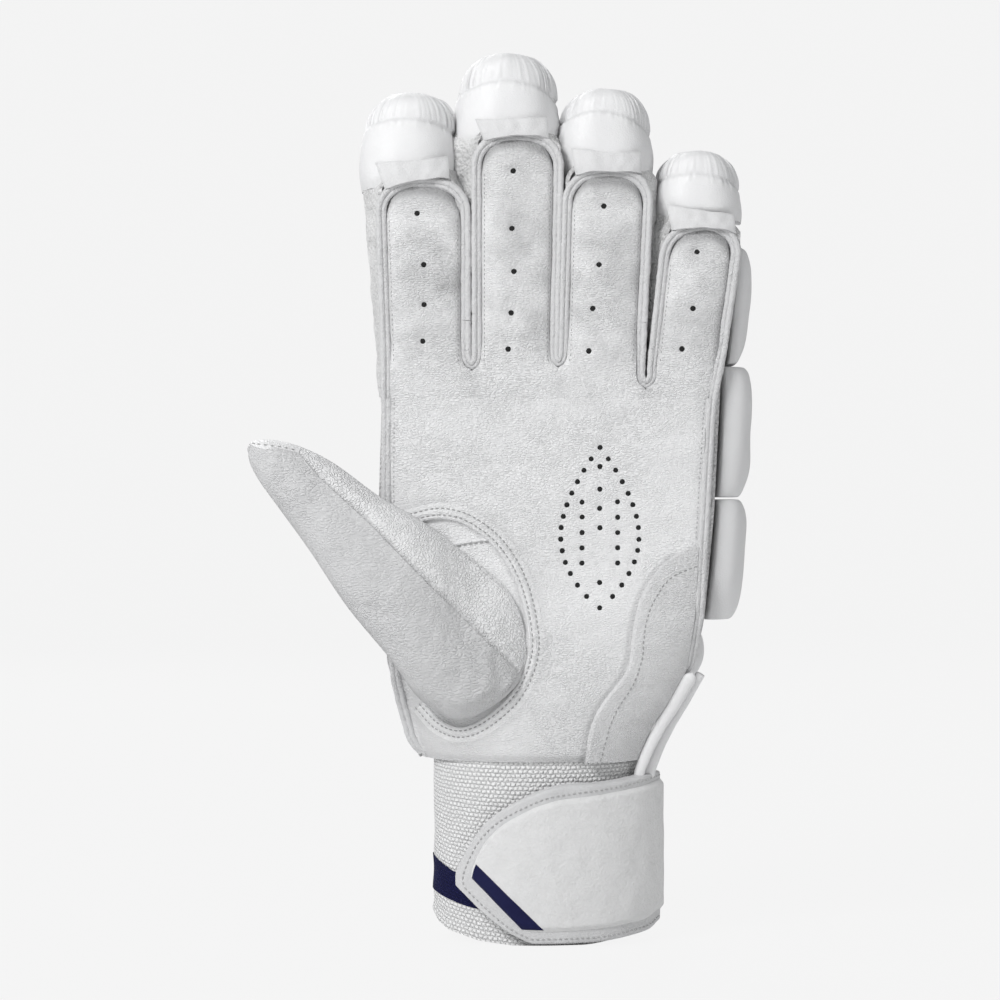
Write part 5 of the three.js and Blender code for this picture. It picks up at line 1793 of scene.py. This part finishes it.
rows = cord_rows(welt_path(0, 51.5, 84.6), welt_size, 20, 0.62)
keep(from_rows("welt_roll", rows, skin_white, ring=True, closed=True), hand, "leather", "wrist_welt")
rows = cord_rows(welt_path(2.9, 51.5, 84), lambda share: 2.1 * mix(0.7, 1.1, share), 16, 0.6)
keep(from_rows("welt_fold", rows, skin_white, ring=True, closed=True), hand, "leather")
print("heel patch and welt made")

# %% [markdown]
# ## Cuff, band and strap
# The cuff is a tube of knitted elastic with a navy band woven in. The strap comes round from the back of
# the wrist, crosses the front and closes on a patch of loops. Its felt panel is puffed up inside a flat
# border, and a navy stripe crosses its end.

# %% Cuff and band
cuff_inside = (cuff_x, cuff_y, 30)


def cuff_point(degrees, lift, z):
    angle = math.radians(degrees)
    return Vector((cuff_x + (cuff_half_wide + lift) * math.cos(angle),
                   cuff_y + (cuff_half_deep + lift) * math.sin(angle), z))


def rim_z(degrees):
    across = math.cos(math.radians(degrees))
    if across > 0:
        return 2.6 * ease(across, 0.4, 1)
    return read_at([(0.25, 0), (0.55, 1.1), (0.85, 3.6), (0.95, 5.8), (1, 8.2)], -across)


def cuff_lift(degrees, z):
    """Soft knit: a little waisted, with shallow dents."""
    waist = -0.5 * math.sin(math.pi * min(max(z / 60, 0), 1))
    return waist + rough(Vector((degrees / 9, z / 2.5, 1)), 3.0, 0.45)


def knit_point(share, degrees):
    z = mix(rim_z(degrees), cuff_top, share)
    hem = 0.5 * math.exp(-((z - rim_z(degrees) - 1.2) / 0.9) ** 2)
    return cuff_point(degrees, cuff_lift(degrees, z) + hem - 0.2, z)


def band_point(share, degrees):
    to_left = -math.cos(math.radians(degrees))
    low = 10.4 + 5.2 * max((to_left - 0.35) / 0.65, 0) ** 2
    high = 20.2 + 6.3 * max((to_left - 0.55) / 0.45, 0) ** 2
    z = mix(low, high, share)
    return cuff_point(degrees, cuff_lift(degrees, z) + 0.12, z)


round_cuff = spaced(0, 360, 200)[:-1]
rows = grid(spaced(0.0, 1.0, 60), round_cuff, knit_point)
cuff = from_rows("cuff_knit", rows, knit_white, ring=True, outward=cuff_inside)
keep(finish_piece(cuff, "cuff"), hand, "elastic", "cuff")
rows = grid(spaced(0.0, 1.0, 8), round_cuff, band_point)
keep(from_rows("cuff_band", rows, navy_knit, ring=True, outward=cuff_inside), hand, "elastic")

# %% Strap: its outline and its panel's, as the camera sees them from the front
strap_lift, strap_thick = 2.9, 2.5
strap_top = flat_path([
    (50.8, 55.6), (49.8, 55.2), (46.2, 53.8), (39.8, 52.2), (31.5, 50.9), (23.2, 50.4), (19.5, 50.1),
    (15.5, 49.2), (9.3, 47.0), (0.0, 42.4), (-4.6, 38.9), (-8.7, 33.8), (-12.2, 27.6), (-13.9, 23.3),
    (-14.6, 20.2)], 0.5)
strap_low = flat_path([
    (50.8, 9.6), (49.6, 8.0), (47.6, 5.8), (44.5, 4.2), (39.7, 2.8), (33.3, 1.5), (26, 0.8), (12.1, 0.4),
    (7.9, 1.2), (1.0, 4.9), (-6.0, 10.5), (-12.2, 16.7), (-14.0, 18.7), (-14.6, 20.0)], 0.5)
panel_top = flat_path([
    (50.6, 52.2), (48.0, 50.9), (42.5, 49.2), (31.0, 47.0), (19.5, 45.5), (15.5, 44.6), (9.3, 42.4),
    (0.0, 37.3), (-5.7, 31.4), (-8.7, 25.6), (-9.5, 22.8), (-9.7, 21.2)], 0.5)
panel_low = flat_path([
    (50.6, 12.0), (48.9, 10.8), (45.4, 8.4), (38.7, 6.8), (31.0, 5.5), (19.0, 4.6), (9.2, 4.6), (6.9, 5.3),
    (3.8, 7.7), (-3.2, 14.9), (-7.4, 18.9), (-9.3, 20.8), (-9.7, 21.1)], 0.5)
strap_end_x, panel_end_x = -14.55, -9.65


def table_at(path, seen_x):
    """The height of an outline at a place across, both as seen from the front."""
    if seen_x >= path[0].x:
        return path[0].z
    for before, after in zip(path, path[1:]):
        if after.x <= seen_x <= before.x:
            return mix(before.z, after.z, (before.x - seen_x) / max(before.x - after.x, 1e-6))
    return path[-1].z


def seen_scale(y):
    return (view_distance + y) / view_distance


def seen_x(degrees, lift):
    point = cuff_point(degrees, lift, 0)
    return point.x / seen_scale(point.y)


def angle_of(seen, lift):
    """The angle round the cuff at which the front surface is seen at a place across."""
    low, high = -179.0, -0.5
    for _ in range(28):
        middle = (low + high) / 2
        if seen_x(middle, lift) < seen:
            low = middle
        else:
            high = middle
    return (low + high) / 2


def real_z(seen_z, degrees, lift):
    return view_height + (seen_z - view_height) * seen_scale(cuff_point(degrees, lift, 0).y)


def strap_inside(low, high, end, across, z):
    """How far inside an outline a place is, all as seen from the front."""
    return min(z - table_at(low, across), table_at(high, across) - z, (across - end) * 0.9 + 0.05)


def strap_skin(name, finish, low, high, sewn_at, end, lift_at, lift_guess):
    """Columns run along the strap from its sewn edge, closer together at its round end."""
    start = seen_x(sewn_at, lift_guess)
    angles = [angle_of(mix(start, end, 1 - (1 - share) ** 1.6), lift_guess)
              for share in spaced(0.0, 1.0, 170)]

    def point(share, degrees):
        across = seen_x(degrees, lift_guess)
        z = mix(table_at(low, across), table_at(high, across), half_turn(share))
        inside = strap_inside(low, high, end, across, z)
        return cuff_point(degrees, lift_at(degrees, z, inside), real_z(z, degrees, lift_guess))

    return from_rows(name, grid(spaced(0.0, 1.0, 50), angles, point), finish, outward=cuff_inside)


def strap_rough(degrees, z, depth=0.35):
    return rough(Vector((degrees, z, 2)), 9.0, depth)


def border_lift(degrees, z, inside):
    edge = ease(inside, 0.0, 1.0)
    bound = 2.4 * (1 - ease(inside, 0.0, 0.35))
    return strap_lift + strap_thick - 0.9 + 0.8 * edge - bound + strap_rough(degrees, z)


outer_lift = strap_lift + strap_thick
made = strap_skin("strap_border", strap_white, strap_low, strap_top, -0.6, strap_end_x, border_lift,
                  outer_lift)
keep(finish_piece(made, "border"), "strap", "strap_skin", "strap_flap")


def panel_lift(degrees, z, inside):
    puff = 1.0 * ease(inside, -0.2, 1.6) + 0.2 * ease(inside, 1, 10)
    return strap_lift + strap_thick + 0.05 + puff + strap_rough(degrees, z)


panel_guess = strap_lift + strap_thick + 1.2
made = strap_skin("strap_panel", felt_white, panel_low, panel_top, -1.6, panel_end_x, panel_lift, panel_guess)
keep(finish_piece(made, "panel"), "strap", "strap_skin")


# %% Strap stitches, midway along its border
stitch_route = [
    (49.4, 53.4), (46.2, 52.0), (39.8, 50.2), (31.5, 48.6), (23.2, 47.5), (15.5, 46.2), (9.3, 43.9),
    (0.0, 39.0), (-6.2, 33.1), (-9.6, 27.2), (-11.3, 23.0), (-11.6, 20.9), (-11.4, 19.4), (-10.2, 17.4),
    (-4.8, 12.2), (1.9, 6.4), (8.3, 2.9), (12.1, 2.3), (26, 2.7), (33.3, 3.5), (39.7, 4.8), (44.5, 6.1),
    (47.6, 7.9), (49.2, 9.6)]
row = []
for point in flat_path(stitch_route, 0.8):
    degrees = angle_of(point.x, outer_lift)
    inside = strap_inside(strap_low, strap_top, strap_end_x, point.x, point.z)
    lift = border_lift(degrees, point.z, inside) + 0.1
    row.append(cuff_point(degrees, lift, real_z(point.z, degrees, outer_lift)))
lay_stitches("strap_stitches", row, "strap", thread_white, 1.75, 1.1, 0.27, "strap_skin")
print("strap stitched")

# %% Strap anchor round the back, and the touch patches
anchor_end = 62


def anchor_lift(degrees, z, inside):
    round_back = ease(degrees, 0, 50)
    base = mix(strap_lift, 0.4, round_back) - 2.0 * (1 - ease(inside, 0.0, 0.35)) * (1 - round_back)
    swell = 0.9 * ease(inside, 0.0, 1.4) * ease(anchor_end + 0.5 - degrees, 0, 1.5)
    return base + strap_thick - 1.0 + swell + strap_rough(degrees, z, 0.3)


def anchor_point(share, degrees):
    forward = 1 - degrees / anchor_end
    bottom, top = mix(7.0, 5.6, forward), mix(54.0, 53.2, forward)
    z = mix(bottom, top, share)
    return cuff_point(degrees, anchor_lift(degrees, z, min(z - bottom, top - z)), z)


rows = grid(spaced(0.0, 1.0, 46), spaced(anchor_end, 0.6, 80), anchor_point)
made = from_rows("anchor_border", rows, strap_white, outward=cuff_inside)
keep(finish_piece(made, "anchor"), hand, "strap_skin", "strap_anchor")

tape_heights, tape_turns = spaced(13.2, 35.2, 20), spaced(-40, -108, 60)
for name, body, lift, patch in (("loop_tape", hand, 1.3, "loop_patch"),
                                ("hook_tape", "strap", 2.6, "hook_patch")):
    rows = grid(tape_heights, tape_turns, lambda z, degrees: cuff_point(degrees, lift, z))
    made = from_rows(name, rows, tape_white, outward=cuff_inside)
    keep(finish_piece(made, "tape"), body, "touch_tape", patch)
print("cuff and strap made")

# %% Navy stripe across the strap's end
high_right, high_left = Vector((-7.5, 0, 25.6)), Vector((-9.3, 0, 21.2))
low_left, low_right = Vector((6.6, 0, 5.2)), Vector((13.6, 0, 5.0))


def stripe_point(share, side):
    seen = high_right.lerp(high_left, side).lerp(low_right.lerp(low_left, side), share)
    degrees = angle_of(seen.x, panel_guess)
    inside = strap_inside(panel_low, panel_top, panel_end_x, seen.x, seen.z)
    lift = panel_lift(degrees, seen.z, inside) + 0.1
    return cuff_point(degrees, lift, real_z(seen.z, degrees, panel_guess))


rows = grid(spaced(0.0, 1.0, 70), spaced(0.0, 1.0, 18), stripe_point)
made = from_rows("strap_stripe", rows, navy_film, outward=cuff_inside)
keep(finish_piece(made, "stripe"), "strap", "strap_skin")
print("stripe made")

# %% [markdown]
# ## Vents and the rows of stitches along the edges
# The vents are punched where the leather lies over the fingers and the middle of the palm. Along the palm's
# left edge and round the fingers a fine row of stitches holds the piping.

# %% Vents
def lay_vents(name, spots, body, radius=1.0):
    made = run_tree(name, vent_tree, [spots], hole_dark, {"Radius": radius * mm}, edges=False)
    return keep(made, body, "leather")


lay_vents("palm_vents", [lifted(x, z, 0.12) for x, z in PALM_VENTS], hand, 0.92)
for name in FINGERS:
    finger = FINGERS[name]
    spots = {"lower": [], "upper": []}
    for x, z in FINGER_VENTS[name]:
        left, right = finger_edges(name, z)
        u = 2 * (x - left) / (right - left) - 1
        spot = Vector((x, finger_depth(name, x, z, u) - 0.15, z))
        spots["lower" if z < finger["cut"] else "upper"].append(spot)
    for part, bend in (("lower", knuckle_bend(name)), ("upper", middle_bend(name))):
        if spots[part]:
            lay_vents(f"{name}_vents_{part}", spots[part], bend)
print("vents:", len(PALM_VENTS), "in the palm")

# %% Edge stitches
for name, table, inset, low, count in (("palm_edge_stitches", palm_left, 1.1, 98, 60),
                                       ("palm_right_stitches", palm_right, -1.0, 127, 40)):
    row = [lifted(read_at(table, z) + inset, z, 0.04) for z in spaced(low, join_z, count)]
    lay_stitches(name, row, hand, thread_white, 1.5, 0.8, 0.16)
for name in FINGERS:
    finger = FINGERS[name]
    shoulder = finger["top"] - arch_drop - 2
    for part, bend, low, high in (("lower", knuckle_bend(name), knuckle_z + 7, finger["cut"]),
                                  ("upper", middle_bend(name), finger["cut"], shoulder)):
        for side, u in (("left", -0.9), ("right", 0.9)):
            row = []
            for z in spaced(low, high, max(int(high - low), 3)):
                x = finger_x(name, z, u)
                row.append(Vector((x, finger_depth(name, x, z, u) - 0.03, z)))
            lay_stitches(f"{name}_edge_stitches_{side}_{part}", row, bend, shaded_seam_thread, 1.4, 0.75, 0.13)
print("edge stitches laid")

# %% [markdown]
# ## Last update
# The view layer is updated once more at the end.


bpy.context.view_layer.update()
